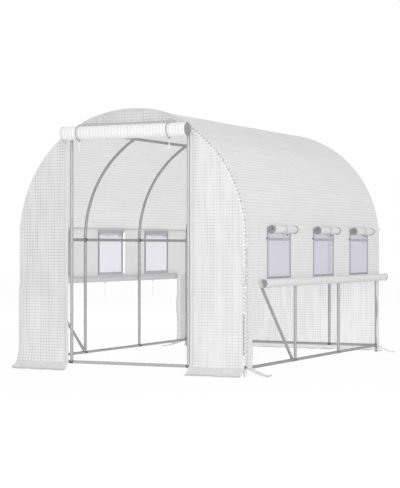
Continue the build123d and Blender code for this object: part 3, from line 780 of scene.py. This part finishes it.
# The left panel is in shade, so its threads show more. Doubled hems let less light through. The half of each
# hem away from the door edge is drawn greyer, for the sewing thread and a painted seam shadow.
left_film = woven_film("polythene_film_woven_shaded", "#F6F6F6", "#C8C8C8", 0.0055, 0.5, 0.2, faint=0.45)
white_film = woven_film("polythene_film_woven_white", "#F8F8F8", "#D5D5D5", 0.0055, 0.5, 0.2)
hem_film = woven_film("polythene_film_doubled_hem", "#EEEEEE", "#E4E4E4", 0.003, 0.35, 0.3)
sewn_film = woven_film("polythene_film_sewn_hem", "#E6E6E6", "#D8D8D8", 0.005, 0.35, 0.3)


def end_points(end, across, share_up, bottom, out):
    """Points on an end wall whose columns run from a lower edge up to the arch."""
    turn = np.arccos(np.clip(across / film_reach, -1, 1))
    top = shoulder + np.sqrt(np.clip(rim(turn, end) ** 2 - across**2, 0, None))
    return stacked(across, end * (end_film + out), bottom + share_up * (top - bottom))


def end_hold(points, run):
    """How free a point of an end wall is: 0 at the arch, the legs and the ground, 1 from the run inwards."""
    over = np.clip(points[..., 2] - shoulder, 0, None)
    margin = film_reach - np.hypot(points[..., 0], over)
    return np.clip(margin / run, 0, 1) * np.clip((points[..., 2] - panel_bottom) / ground_hold, 0, 1)


def dragged(height):
    """How far the foot of the right panel's door edge is drawn towards the doorway."""
    return door_slip * np.clip((slip_top - height) / slip_run, 0, 1) ** 2


front_folds = {
    "front_left_panel": [
        ((-0.93, 0.1), (-0.80, 1.5), 0.035, 0.006), ((-0.74, 0.1), (-0.72, 1.7), 0.04, 0.005),
        ((-0.62, 0.2), (-0.66, 1.5), 0.03, 0.004), ((-1.0, 0.69), (-0.56, 0.69), 0.012, 0.004),
        ((-1.0, 1.04), (-0.56, 1.04), 0.012, 0.003),
    ],
    "front_right_panel": [
        ((0.90, 0.1), (0.84, 1.5), 0.035, 0.006), ((0.72, 0.1), (0.70, 1.75), 0.045, 0.007),
        ((0.60, 0.2), (0.60, 1.6), 0.03, 0.004),
    ],
}
for node, inner, outer, film in (
    ("front_left_panel", door_left, -film_reach, left_film),
    ("front_right_panel", door_right, film_reach, white_film),
):
    edges = math.acos(inner / film_reach), math.acos(outer / film_reach)
    share_up, swing = grid_of(np.linspace(0, 1, 170), np.linspace(*edges, 56))
    across = film_reach * np.cos(swing)
    flat_points = end_points(-1, across, share_up, panel_bottom, 0.0)
    height = flat_points[..., 2]
    slack = pressed_folds(across, height, front_folds[node])
    slack += panel_slack * ripples(across, height, *panel_waves)
    points = end_points(-1, across, share_up, panel_bottom, end_hold(flat_points, panel_hold) * slack)
    points[..., 0] -= left_flare(height) * np.clip((-across - flare_from) / flare_span, 0, 1)
    hem_up, hem_across = grid_of(np.linspace(0, 1, 170), np.linspace(0, 1, 5))
    hem_x = inner + math.copysign(door_hem, inner) * hem_across
    flat_hem = end_points(-1, hem_x, hem_up, panel_bottom, 0.0)
    out = hem_puff * np.sin(hem_across * math.pi) + hem_out + hem_slack * end_hold(flat_hem, panel_hold)
    hem = end_points(-1, hem_x, hem_up, panel_bottom, out)
    if inner > 0:
        points[..., 0] -= dragged(height) * np.clip((slip_end - across) / slip_reach, 0, 1)
        hem[..., 0] -= dragged(flat_hem[..., 2])
    # The greyer half of the hem holds the thread and a painted seam shadow.
    sewn = np.where(hem_across[:-1, :-1] < sewn_from, 1, 2)
    patches = [
        (points, stacked(across, height), None, 0), (hem, stacked(hem_x, flat_hem[..., 2]), None, sewn),
    ]
    panel = film_piece(
        f"{node}_film", [turned_over(patch, inner > 0) for patch in patches], [film, hem_film, sewn_film]
    )
    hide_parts(node)

# Rounded piece over the doorway: film drawn greyer than the walls, with darker threads. A grey strip runs
# along it above the door roll, painted shadow where the roll meets it, and its top bunches up at the right.
arch_film = woven_film(
    "polythene_film_grey_dark_threads", "#EEEEEE", "#BCBCBC", 0.0062, 0.4, 0.4, pitch=wide_pitch
)
# The grey of this strip is painted shadow.
painted_shadow_tape = woven_tape("woven_polyester_painted_shadow_strip", "#C6C6C6", "#B6B6B6", 0.004)
lunette_bottom = 1.864
lunette_slack, lunette_waves, lunette_hold = 0.004, (0.08, 0.3, 0.5, 9), 0.06
lunette_low, lunette_high = -0.0015, 0.006
shadow_strip_half, shadow_strip_bottom, shadow_strip_top, shadow_strip_out = 0.42, 1.928, 1.949, 0.0075
shadow_strip_rise, bunch_rise, bunch_place, bunch_spread, shadow_strip_margin = 0.005, 0.012, 0.385, 0.035, 0.012
share_up, across = grid_of(np.linspace(0, 1, 36), np.linspace(door_left, door_right, 130))
flat_points = end_points(-1, across, share_up, lunette_bottom, 0.0)
slack = lunette_slack * ripples(across, flat_points[..., 2], *lunette_waves)
out = np.clip(end_hold(flat_points, lunette_hold) * slack, lunette_low, lunette_high)
points = end_points(-1, across, share_up, lunette_bottom, out)
shadow_strip_up, shadow_strip_across = grid_of(np.linspace(0, 1, 4), np.linspace(-shadow_strip_half, shadow_strip_half, 120))
bunched = bunch_rise * swell(shadow_strip_across, bunch_place, bunch_spread)
shadow_strip_edge = np.minimum(
    shadow_strip_top + shadow_strip_rise * np.abs(shadow_strip_across) / shadow_strip_half + bunched,
    shoulder + np.sqrt(film_radius**2 - shadow_strip_across**2) - shadow_strip_margin,
)
tape = stacked(shadow_strip_across, -end_film - shadow_strip_out, shadow_strip_bottom + shadow_strip_up * (shadow_strip_edge - shadow_strip_bottom))
patches = [
    (points, stacked(across, points[..., 2]), None, 0), (tape, stacked(shadow_strip_across, tape[..., 2]), None, 1),
]
lunette = film_piece("front_lunette_film", [turned_over(patch) for patch in patches], [arch_film, painted_shadow_tape])
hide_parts("front_lunette")

# Arch hem: a plain doubled strip of film welded round the edge of each end from foot to foot. It is widest
# over the doorway, and puckers along its seam.
hem_steps = 5
arch_hem, crown_hem, crown_from, crown_run, door_share = 0.014, 0.004, 0.3, 0.6, 0.54
arch_hem_out, arch_hem_puff, arch_hem_cut = 0.0018, 0.0012, 0.03
hem_bunch, bunch_pitch, hem_bunch_place, hem_bunch_spread = 0.002, 0.05, 0.42, 0.12


def arch_edge(end, inset, foot):
    """Points across and up along the edge of an end wall, set in, from the right foot over to the left."""
    leg = np.linspace(foot, shoulder, 105)[:-1]
    bow = np.linspace(0, math.pi, 210)
    turn = np.concatenate([0 * leg, bow, 0 * leg + math.pi])
    base = np.concatenate([leg, 0 * bow + shoulder, leg[::-1]])
    reach = rim(turn, end) - inset
    across, up = reach * np.cos(turn), base + reach * np.sin(turn)
    if end < 0:
        across = np.where(across < 0, across - left_flare(up), across)
    return across, up, turn


for end, name in ((-1, "front_arch_hem"), (1, "rear_arch_hem")):
    across, up, turn = arch_edge(end, 0.0, panel_bottom)
    width = arch_hem + crown_hem * np.clip((np.sin(turn) - crown_from) / crown_run, 0, 1)
    length = np.concatenate([[0], np.cumsum(np.hypot(np.diff(across), np.diff(up)))])
    bunch = hem_bunch * swell(np.cos(turn), hem_bunch_place, hem_bunch_spread)
    bunch = bunch * np.sin(length * 2 * math.pi / bunch_pitch)
    loops = []
    for share_in in np.linspace(0, 1, hem_steps + 1):
        across, up, _ = arch_edge(end, share_in * width, panel_bottom)
        out = arch_hem_out + (arch_hem_puff + bunch) * math.sin(share_in * math.pi)
        loops.append(stacked(across, end * (end_film + out), up))
    cut = stacked(length[None, :], np.linspace(0, arch_hem_cut, hem_steps + 1)[:, None])
    over_door = np.tile((np.abs(np.cos(turn[:-1])) < door_share).astype(int), (hem_steps, 1))
    patch = turned_over((np.array(loops), cut, None, over_door if end < 0 else 0), end > 0)
    hem = film_piece(name, [patch], [hem_film, sewn_film])

# Rear wall: one closed sheet of film from the ground to the arch, hung from the rear arch over the two rear
# posts, and held flat where it lies on them.
rear_slack, rear_waves, rear_hold = 0.004, (0.15, 0.5, 0.15, 10), 0.15
post_hold_share, post_run = 0.8, 0.04
first_swing = 0.02
share_up, swing = grid_of(np.linspace(0, 1, 150), np.linspace(first_swing, math.pi - first_swing, 150))
across = np.cos(swing) / math.cos(first_swing) * film_reach
flat_points = end_points(1, across, share_up, panel_bottom, 0.0)
height = flat_points[..., 2]
posts = 1 - post_hold_share * swell(np.abs(across), rear_post_places[1], post_run)
slack = rear_slack * ripples(across, height, *rear_waves)
points = end_points(1, across, share_up, panel_bottom, end_hold(flat_points, rear_hold) * posts * slack)
rear = film_piece("rear_wall_film", [(points, stacked(across, height), None, 0)], [white_film])
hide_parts("rear_wall")

# Skirts: the lower edge of the film turned out on the ground, to be weighted with soil, with a rolled hem.
# Loose and wavy, and drawn askew at the front. At the corners the film goes round the foot of the leg.
crease = rail_height
rolled_hem, hem_rise = 0.022, 0.008
skirt_lift, skirt_wave, skirt_low = 0.002, 0.004, 0.0012
skirt_waves, edge_waver, edge_waves = (0.10, 0.26, 0.0, 5), 0.005, (0.12, 0.3, 0.0, 4)
left_reach, right_reach, rear_reach, side_reach, flared_reach = 0.11, 0.12, 0.12, 0.165, 0.06
left_skew, right_skew, straight = (0.02, 0.03), (0.022, 0.013), (0.0, 0.0)
foot_bottom, foot_top, foot_flare, foot_flare_top, foot_gap = 0.0015, 0.058, 0.02, 0.06, 0.001
# The turned-out film is drawn greyer than the walls: painted shade.
skirt_film = woven_film("polythene_film_skirt_painted_shade", "#EAEAEA", "#D2D2D2", 0.0052, 0.3, 0.4)
skirt_hem = woven_film("polythene_film_rolled_hem", "#CACACA", "#C0C0C0", 0.003, 0.2, 0.5)


def skirt_patch(place, length, reach, skew, turned):
    """A skirt from the crease down and out over the ground, its ends askew. place maps along, out and up."""
    columns = max(14, round(length / film_step))
    share_out, along = grid_of(np.linspace(0, 1, 34), np.linspace(0, length, columns))
    hem = np.clip(1 - (1 - share_out) * reach / rolled_hem, 0, 1)
    lift = share_out * (skirt_lift + skirt_wave * ripples(along, share_out, *skirt_waves))
    lift = lift + hem_rise * np.sin(hem * math.pi)
    up = np.clip(crease * (1 - share_out) ** 1.5 + lift, skirt_low, None)
    out = reach * share_out + edge_waver * share_out**2 * ripples(along, 0 * along, *edge_waves)
    drawn = skew[0] + (skew[1] - skew[0]) * along / length
    points = place(along + drawn * share_out, out, up)
    cut = stacked(along, share_out * math.hypot(reach, crease))
    return turned_over((points, cut, None, (hem[:-1, :-1] > 0).astype(int)), turned)


def foot_patch(side, end):
    """The film round the foot of a corner leg, from the end wall to the long wall, flaring on the ground."""
    height, swing = grid_of(np.linspace(foot_bottom, foot_top, 8), np.linspace(0, math.pi / 2, 9))
    flare = 0.0 if side > 0 > end else foot_flare
    reach = end_film + foot_gap - rear_row + flare * np.clip(1 - height / foot_flare_top, 0, 1) ** 2
    across, along = bow_radius + reach * np.sin(swing), rear_row + reach * np.cos(swing)
    points = stacked(side * across, end * along, height)
    return turned_over((points, stacked(swing * reach, height), None, 2), side * end < 0)


def end_skirt(start, line, way):
    """The place of a skirt that starts at a place across an end wall and goes out from the wall's line."""
    return lambda along, out, up: stacked(start + along, line + way * out, up)


def side_skirt(line, start, way):
    """The place of a skirt that starts at a place along a long wall and goes out from the wall's line."""
    return lambda along, out, up: stacked(line + way * out, start + along, up)


skirt_gap = 0.002
end_line, wall_line = end_film + skirt_gap, film_radius + skirt_gap
left_line = wall_line + left_flare(crease)
left_length = door_left + left_line
right_start, right_end = door_right - door_slip, 0.988
right_length = right_end - right_start
front_right, rear_right = corner_widths["right"]
front_left, rear_left = corner_widths["left"]
for name, parts, corners in (
    ("front_skirts", [
        (end_skirt(-left_line, -end_line, -1), left_length, left_reach, left_skew, False),
        (end_skirt(right_start, -end_line, -1), right_length, right_reach, right_skew, False),
    ], [(1, -1), (-1, -1)]),
    ("rear_skirt", [
        (end_skirt(-film_radius, end_line, 1), 2 * film_radius, rear_reach, straight, True),
    ], [(1, 1), (-1, 1)]),
    ("side_skirts", [
        (side_skirt(wall_line, -end_film, 1), front_right, side_reach, straight, False),
        (side_skirt(wall_line, end_film - rear_right, 1), rear_right, side_reach, straight, False),
        (side_skirt(-left_line, -end_film, -1), front_left, flared_reach, straight, True),
        (side_skirt(-wall_line, end_film - rear_left, -1), rear_left, side_reach, straight, True),
    ], []),
):
    patches = [skirt_patch(*part) for part in parts] + [foot_patch(side, end) for side, end in corners]
    laid_film = white_film if name == "rear_skirt" else skirt_film
    laid = film_piece(f"{name}_film", patches, [laid_film, skirt_hem, white_film])
    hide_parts(name)

# Cup washers: at three corners a bolt in a pressed steel cup pins the film to the foot of the leg. The cup is
# the same dull zinc-plated steel as the clips, and the bolt goes through film and tube.
cup_reaches = np.array((0.0142, 0.0125, 0.0052, 0.0050, 0.0042, 0.0001))
cup_rises = np.array((0.0, 0.0032, 0.0042, 0.0082, 0.0094, 0.0098))
cup_spot = np.array((0.9985, 1.4975, 0.070))
patches = []
swing, cup_reach = grid_of(np.linspace(0, 2 * math.pi, 25), cup_reaches)
for side, end in ((1, -1), (1, 1), (-1, 1)):
    away = np.array((side, end, 0.0)) / math.sqrt(2)
    beside = np.array((-end, side, 0.0)) / math.sqrt(2)
    points = cup_spot * (side, end, 1) + cup_rises[:, None] * away
    points = points + (cup_reach * np.cos(swing))[..., None] * beside
    points = points + (cup_reach * np.sin(swing))[..., None] * np.array((0.0, 0.0, side * end))
    patches.append((points, stacked(swing * cup_reaches[0], cup_reach), None, 0))
cups = film_piece("corner_cup_washers", patches, [clip_steel])

# Rolls: the door, the two sides and the six window flaps, each wound up on itself from its lower edge. The
# turns lie close, the ends show the spiral, and the film gives a little where a tie pulls round it.
ply = 0.003
tail_steps = 3
outer_turns, inner_from, pale_from = 3, 2, 0.8
tie_pinches = ((0.07, 0.012), (0.03, 0.05))
give_share, give_waves, mean_give, most_give = 0.022, (0.05, 0.2, 0.3, 10), 0.012, 0.05
rib_share, end_share, end_run = 0.012, 0.03, 0.01
wall_face = 1.0016
front_face = 1.5016
# The door roll's outer film is drawn paler than the walls: painted light on its shaded underside. Many layers
# let little light through: the inner turns are drawn grey, painted shade between the turns, and the strips at
# the ends dark, painted shade in the hollow of the spiral.
roll_film = woven_film(
    "polythene_film_rolled_painted_light", "#FFFFFF", "#E6E6E6", 0.0115, 0.15, 0.2, (0,), wide_pitch, 0.5
)
side_roll_film = woven_film("polythene_film_rolled_wide", "#F4F4F4", "#E6E6E6", 0.0115, 0.25, 0.2, (0,))
flap_film = woven_film("polythene_film_rolled_flap", "#E9E9E9", "#DCDCDC", 0.0115, 0.18, 0.2, (0,))
turns_shade_film = woven_film("polythene_film_rolled_painted_shade", "#C4C4C4", "#ACACAC", 0.005, 0.3, 0.4)
end_shade_film = woven_film("polythene_film_roll_end_painted_shade", "#9A9A9A", "#868686", 0.004, 0.05, 0.5)
end_half_shade_film = woven_film("polythene_film_roll_end_painted_half_shade", "#D0D0D0", "#BCBCBC", 0.004, 0.05, 0.5)


def roll_turns(radius, pitch, half_turns, tail, fine, coarse):
    """The winding line of a roll in its own section (out from the wall, up), from the tail inwards."""
    line = [(ply / 2, up) for up in np.linspace(tail, 0, tail_steps + 1)[:-1]]
    turns = [0] * tail_steps
    for half in range(half_turns):
        reach = radius - ply / 2 - half * pitch / 2
        middle = radius if half % 2 == 0 else radius + pitch / 2
        first = math.pi if half % 2 == 0 else 0.0
        steps = fine if half < outer_turns else coarse
        for swing in np.linspace(first, first + math.pi, steps + 1)[:-1]:
            line.append((middle + reach * math.cos(swing), reach * math.sin(swing)))
            turns.append(half)
    return np.array(line), np.array(turns)


def unit(vectors):
    """Vectors made one unit long."""
    return vectors / np.linalg.norm(vectors, axis=1)[:, None]


def wound(radius, pitch, half_turns, tail, length, count, ties, edge, fine=14, coarse=8, weave=thread_pitch):
    """A roll's film as patches of local points (out, up, along), and the length that is wound up.

    The turns are one sheet. At both ends a narrow strip along the spiral closes the roll. The strips, the
    inner turns and the last step along the roll take the later slots, which hold painted shade."""
    line, turns = roll_turns(radius, pitch, half_turns, tail, fine, coarse)
    wound_length = np.concatenate([[0], np.cumsum(np.hypot(*np.diff(line, axis=0).T))])
    along = np.linspace(0, length, count)
    middle = np.array((radius, 0.0))
    pinch = sum(depth * swell(along, tie, spread) for tie in ties for depth, spread in tie_pinches)
    angle, run = grid_of(np.arctan2(line[:, 1], line[:, 0] - radius), along)
    give = give_share * ripples(run, angle * radius, *give_waves) - mean_give
    give = np.clip(give, -most_give, 0.0)
    ribs = rib_share * np.cos(run * 2 * math.pi / weave[0]) - rib_share
    ends = end_share * (np.exp(-along / end_run) + np.exp((along - length) / end_run))
    scale = 1 - pinch + give + ribs - ends
    scale[:tail_steps] = 1.0
    shape = middle + (line - middle)[:, None, :] * scale[..., None]
    points = stacked(shape[..., 0], shape[..., 1], along)
    cut = stacked(along[None, :], wound_length[:, None])
    # Inner turns take the grey film and the last step along the roll the dark one: painted shade.
    numbers = np.repeat((turns[:-1] >= inner_from).astype(int)[:, None], count - 1, axis=1)
    numbers[tail_steps:, -1] = 2
    patches = [(points, cut, None, numbers)]
    heading = unit(np.gradient(line, axis=0))
    aside = stacked(-heading[:, 1], heading[:, 0]) * edge / 2
    # The end strips are painted shade, paler near the wall where the roll's slots ask for it.
    shaded = np.where(line[:-1, 0] > pale_from * radius, 2, 3)[:, None]
    for column, way in ((0, 1), (-1, -1)):
        end = points[:, column]
        pair = [np.concatenate([end[:, :2] + side * way * aside, end[:, 2:]], axis=-1) for side in (-1, 1)]
        strip_cut = np.stack([cut[:, column] + (0, shift) for shift in (0, edge)], axis=1)
        patches.append((np.stack(pair, axis=1), strip_cut, None, shaded))
    return patches, wound_length[-1]


def door_place(start, way, points):
    """A door roll's own points (out, up, along) set over the doorway, counted one way from a start."""
    out, up, along = np.moveaxis(points, -1, 0)
    return stacked(start + way * along, -front_face - out, door_roll_height + up)


def side_place(side, start, way, points):
    """A side roll's own points set on a long wall, counted one way from a start."""
    out, up, along = np.moveaxis(points, -1, 0)
    return stacked(side * (wall_face + out), start + way * along, side_roll_height + up)


def window_place(side, start, way, points):
    """A window roll's own points set on the curved wall above its window, counted one way from a start."""
    cosine, sine = math.cos(flap_angle), math.sin(flap_angle)
    out, up, along = np.moveaxis(points, -1, 0)
    out = wall_face + out
    across, height = out * cosine - up * sine, shoulder + out * sine + up * cosine
    return stacked(side * across, start + way * along, height)


def set_roll(patches, place, turned):
    """A roll's patches set in place, with their faces outwards."""
    return [turned_over((place(points), *rest), turned) for points, *rest in patches]


door_roll_radius = 0.059
door_roll_height = shoulder + 0.82775
door_roll_ends = (-0.559, 0.540)
door_roll_length = door_roll_ends[1] - door_roll_ends[0]
door_ties = (-0.417, 0.381)
patches, door_wound = wound(
    door_roll_radius, pitch=0.0066, half_turns=16, tail=0.040, length=door_roll_length, count=270,
    ties=[tie - door_roll_ends[0] for tie in door_ties], edge=0.0064, weave=wide_pitch,
)
placed = set_roll(patches, partial(door_place, door_roll_ends[0], 1), False)
door_roll = film_piece("door_roll_film", placed, [roll_film, turns_shade_film, end_shade_film, end_shade_film])
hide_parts("door_roll")

side_roll_radius = 0.036
side_roll_ends = {"right": (-1.2663, 1.5673), "left": (-1.3903, 1.3203)}
side_ties = {name: [side * window_shift + step * window_pitch for step in (-1, 0, 1)] for name, side in walls}
for name, side in walls:
    low, high = side_roll_ends[name]
    patches, side_wound = wound(
        side_roll_radius, pitch=0.0056, half_turns=12, tail=0.028, length=high - low, count=230,
        ties=[tie - low for tie in side_ties[name]], edge=0.0054, fine=12, coarse=7,
    )
    placed = set_roll(patches, partial(side_place, side, low, 1), side < 0)
    side_films = [side_roll_film, turns_shade_film, end_shade_film, end_half_shade_film]
    side_roll = film_piece(f"{name}_side_roll_film", placed, side_films)
    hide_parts(f"{name}_side_roll")

flap_radius = 0.035
flap_length = 0.459
flap_rise = 0.069
flap_angle = math.asin(flap_rise / (wall_face + flap_radius))
for name, side in walls:
    placed = []
    for middle in windows[name]:
        patches, flap_wound = wound(
            flap_radius, pitch=0.0088, half_turns=7, tail=0.022, length=flap_length, count=56,
            ties=[flap_length / 2], edge=0.0086, fine=12, coarse=9,
        )
        placed += set_roll(patches, partial(window_place, side, middle - flap_length / 2, 1), side < 0)
    flaps = film_piece(f"{name}_window_flaps", placed, [flap_film, turns_shade_film, end_shade_film, end_shade_film])
    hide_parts(f"{name}_window_rolls")

# Ties: flat polyester tape sewn to the cover behind each roll, passed under it and up its front, and knotted
# below. The knot is an overhand knot in the same tape. Smaller dark knots sit beside each window's head.
grey_tape = woven_tape("woven_polyester_tie_grey", "#B9B9B9", "#9C9C9C", 0.004)
white_tape = woven_tape("woven_polyester_tie_white", "#FAFAFA", "#EEEEEE", 0.004)
dark_tape = woven_tape("woven_polyester_knot_dark", "#76747E", "#62606A", 0.004)
strap_width, strap_thickness, strap_gap = 0.008, 0.0015, 0.0003
knot_size, knot_tape, knot_drop, tape_step = 0.0030, 0.0026, 0.005, 0.003
strap_start, strap_end = math.radians(-125), math.radians(100)
strap_shares = (
    (-0.5, 0.2), (-0.4, 0.0), (0.4, 0.0), (0.5, 0.2), (0.5, 0.8), (0.4, 1.0), (-0.4, 1.0), (-0.5, 0.8),
    (-0.5, 0.2),
)
net_knot_scale = 0.8
net_knot_spots = ((-window_width / 2 - 0.027, 1.043), (window_width / 2 - 0.07, 1.072))


def strap_grid(radius):
    """A strap round a roll in its own section, as loops of a flat closed tape: out, up, along."""
    swing = np.linspace(strap_start, strap_end, 34)
    loops = []
    for aside, rise in strap_shares:
        reach = radius + strap_gap + rise * strap_thickness
        loops.append(stacked(radius + reach * np.cos(swing), reach * np.sin(swing), aside * strap_width))
    return np.array(loops)


def knot_grid(radius):
    """An overhand knot under a strap, as rings of tape round a closed three-lobed line: out, up, along."""
    run = np.linspace(0, 2 * math.pi, 61)
    lobes = (np.sin(run) + 2 * np.sin(2 * run), np.cos(run) - 2 * np.cos(2 * run), -np.sin(3 * run))
    core = stacked(*lobes) * knot_size
    ahead = unit(np.gradient(core, axis=0))
    first = unit(np.cross(ahead, (0.0, 0.0, 1.0)))
    second = np.cross(ahead, first)
    turns = np.linspace(0, 2 * math.pi, 9)
    rings = np.array([core + knot_tape * (math.cos(a) * first + math.sin(a) * second) for a in turns])
    return rings[..., [2, 1, 0]] + np.array((radius, -radius - knot_drop, 0.0))


def tape_patch(grid, place):
    """A closed length of tape set in place."""
    cut = stacked(*grid_of(np.arange(grid.shape[0]), np.arange(grid.shape[1]))) * tape_step
    return place(grid), cut, None, 0


def net_knot_place(side, spot, points):
    """A small knot's own points set on a long wall."""
    out, up, along = np.moveaxis(points, -1, 0)
    return np.array(spot) + stacked(side * out, -side * along, up) * net_knot_scale


patches = []
for name, side in walls:
    for middle in windows[name]:
        for along, height in net_knot_spots:
            spot = (side * (film_radius + knot_drop), middle + along, height + knot_drop)
            patches.append(tape_patch(knot_grid(0.0), partial(net_knot_place, side, spot)))
net_knots = film_piece("window_net_knots", patches, [dark_tape])

side_places = [partial(side_place, side, tie, -side) for name, side in walls for tie in side_ties[name]]
flap_places = [partial(window_place, side, tie, -side) for name, side in walls for tie in windows[name]]
tie_sets = (
    ("door", door_roll_radius, 0.090, grey_tape, [partial(door_place, tie, -1) for tie in door_ties]),
    ("side", side_roll_radius, 0.137, white_tape, side_places),
    ("window", flap_radius, 0.080, pale_tape, flap_places),
)
for name, radius, _, tape, places in tie_sets:
    grids = (strap_grid(radius), knot_grid(radius))
    patches = [tape_patch(grid, place) for place in places for grid in grids]
    straps = film_piece(f"{name}_tie_straps", patches, [tape])
    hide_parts(f"{name}_roll_ties")

# Loose ends: what is left of each tie hangs from its knot, limp and a little crooked, cut off square. It is
# the same polyester tape, twisted to a cord. Its route is a few points, as shares of its length.
tail_radius = 0.0025
tail_start = 0.0024
tail_shares = ((0, 0, 0), (0.03, 0.36, 0.02), (0, 0.7, -0.03), (0.04, 1.0, 0.01))
for name, radius, length, _, places in tie_sets:
    for number, place in enumerate(places):
        route = [
            (radius + out * length, -radius - tail_start - drop * length, along * length)
            for out, drop, along in tail_shares
        ]
        route = place(np.array(route))
        line = bpy.data.curves.new(f"{name}_tie_tail_{number + 1}", "CURVE")
        line.dimensions = "3D"
        spline = line.splines.new("NURBS")
        spline.points.add(len(route) - 1)
        for control, spot in zip(spline.points, route):
            control.co = (*spot, 1.0)
        spline.order_u = 3
        spline.use_endpoint_u = True
        line.bevel_depth = tail_radius
        line.bevel_resolution = 2
        line.use_fill_caps = True
        line.materials.append(pale_tape if name == "window" else white_tape)
        tail = add_object(line.name, line)
        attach(tail, "root")
        if number == 0:
            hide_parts(f"{name}_tie_tails")

# Stitching: rows of lock stitch along the arch seam, the door hems, the roof seams and the window bindings,
# in thick polyester thread, with the film puckered white between the stitches. Stitches and thread are drawn
# larger than life so that they show.
seam_thread = woven_tape("spun_polyester_thread_grey", "#B2B2B2", "#9A9A9A", 0.003)
soft_thread = woven_tape("spun_polyester_thread_soft", "#C4C4C4", "#B0B0B0", 0.003)
pale_thread = woven_tape("spun_polyester_thread_pale", "#D2D2D2", "#BEBEBE", 0.003)
bright_thread = woven_tape("puckered_film_white", "#FAFAFA", "#F0F0F0", 0.003)
tree, given = node_tree("stitch_row", ("Spacing", "Stitch length", "Thread width", "Unevenness"), "Thread")
path = add_node(tree, "GeometryNodeMeshToCurve", {}, {"Mesh": given["Geometry"]})
marks = add_node(
    tree, "GeometryNodeCurveToPoints", {"mode": "LENGTH"}, {"Curve": path, "Length": given["Spacing"]}
)
stitch = add_node(tree, "GeometryNodeMeshUVSphere", {}, {"Segments": 6, "Rings": 4, "Radius": 0.5})
size = add_node(
    tree, "ShaderNodeCombineXYZ", {},
    {"X": given["Thread width"], "Y": given["Thread width"], "Z": given["Stitch length"]},
)
least = add_node(tree, "ShaderNodeMath", {"operation": "SUBTRACT"}, {0: 1.0, 1: given["Unevenness"]})
most = add_node(tree, "ShaderNodeMath", {"operation": "ADD"}, {0: 1.0, 1: given["Unevenness"]})
chance = add_node(tree, "FunctionNodeRandomValue", {"data_type": "FLOAT"}, {2: least, 3: most, "Seed": 7})
uneven = add_node(
    tree, "ShaderNodeVectorMath", {"operation": "SCALE"}, {0: size, "Scale": chance.outputs[1]}
)
sewn = add_node(
    tree, "GeometryNodeInstanceOnPoints", {},
    {"Points": marks, "Instance": stitch, "Rotation": marks.outputs["Rotation"], "Scale": uneven},
)
finish_tree(tree, sewn, given["Thread"])


def sew(name, lines, spacing, length, width, uneven, thread):
    """One piece of stitching along several lines of points."""
    corners, edges = [], []
    for line in lines:
        edges += [(len(corners) + step, len(corners) + step + 1) for step in range(len(line) - 1)]
        corners += [tuple(spot) for spot in line]
    start = bpy.data.meshes.new(f"{name}_line")
    start.from_pydata(corners, edges, [])
    row = grown(
        name, tree, start,
        {
            "Spacing": spacing, "Stitch length": length, "Thread width": width, "Unevenness": uneven,
            "Thread": thread,
        },
    )
    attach(row, "root")


stitch_foot = 0.075
right_part = 0.53
edge_out, arch_out, hem_stitch_out, seam_out, binding_out = 0.002, 0.0032, 0.0075, 0.002, 0.0016
edge_unevenness = 0.3
arch_insets, door_insets, seam_rises = (0.004, 0.013), (0.004, 0.030), (-0.009, 0.009)
door_stitch_foot, door_stitch_gap = 0.08, 0.06
for name, inset, low, high, spacing, length, width, thread in (
    ("front_arch_lashing", 0.010, 1.05, 2.0, 0.029, 0.015, 0.016, soft_thread),
    ("front_edge_lashing", 0.010, 0.72, 1.05, 0.029, 0.012, 0.013, soft_thread),
    ("front_edge_stitching", -0.001, 0.075, 0.97, 0.029, 0.014, 0.011, soft_thread),
    ("front_edge_piping", -0.003, 0.075, 0.97, 0.010, 0.018, 0.009, pale_thread),
    # The two rows set in 29 mm stand for the shadow of a fold beside the seam: a painted shadow line, dark and
    # unbroken low down, paler dashes higher up.
    ("front_edge_basting", 0.029, 0.46, 0.82, 0.029, 0.016, 0.008, soft_thread),
    ("front_edge_painted_shadow_line", 0.029, 0.16, 0.46, 0.010, 0.018, 0.010, seam_thread),
    ("front_edge_ticks", 0.015, 0.08, 0.72, 0.0235, 0.008, 0.012, pale_thread),
    ("front_edge_pucker", 0.015, 0.092, 0.72, 0.0235, 0.012, 0.012, bright_thread),
    ("front_arch_pucker", 0.026, 0.72, 2.0, 0.029, 0.015, 0.013, bright_thread),
):
    across, up, turn = arch_edge(-1, inset, stitch_foot)
    line = stacked(across, -end_film - edge_out, up)
    sewn_part = (np.cos(turn) > right_part) & (up >= low) & (up <= high)
    sew(name, [line[sewn_part]], spacing, length, width, edge_unevenness, thread)

lock_stitch, small_stitch = (0.014, 0.008, 0.0014, 0.1), (0.012, 0.007, 0.0012, 0.1)
arch_lines = []
for inset in arch_insets:
    for end in (-1, 1):
        across, up, turn = arch_edge(end, inset, stitch_foot)
        line = stacked(across, end * (end_film + arch_out), up)
        arch_lines.append(line[(end > 0) | (np.cos(turn) <= right_part)])
sew("arch_stitching", arch_lines, *lock_stitch, pale_thread)

door_lines = []
for edge, way in ((door_left, -1), (door_right, 1)):
    top = shoulder + math.sqrt(film_radius**2 - edge**2) - door_stitch_gap
    for inset in door_insets:
        height = np.linspace(door_stitch_foot, top, 90)
        door_lines.append(stacked(edge + way * inset, -end_film - hem_stitch_out, height))
sew("door_hem_stitching", door_lines, *lock_stitch, pale_thread)

seam_along = np.linspace(-end_film, end_film, 160)
seam_rows = [(side, seam_height + rise) for side in (-1, 1) for rise in seam_rises]
seam_lines = [wall_points(side, seam_along, height, seam_out) for side, height in seam_rows]
sew("roof_seam_stitching", seam_lines, *lock_stitch, pale_thread)

binding_lines = []
for name, side in walls:
    for low, high in net_spans[name]:
        ring = window_ring(low, high, 19)
        binding_lines.append(wall_points(side, ring[:, 0], ring[:, 1], binding_out))
sew("window_stitching", binding_lines, *small_stitch, seam_thread)
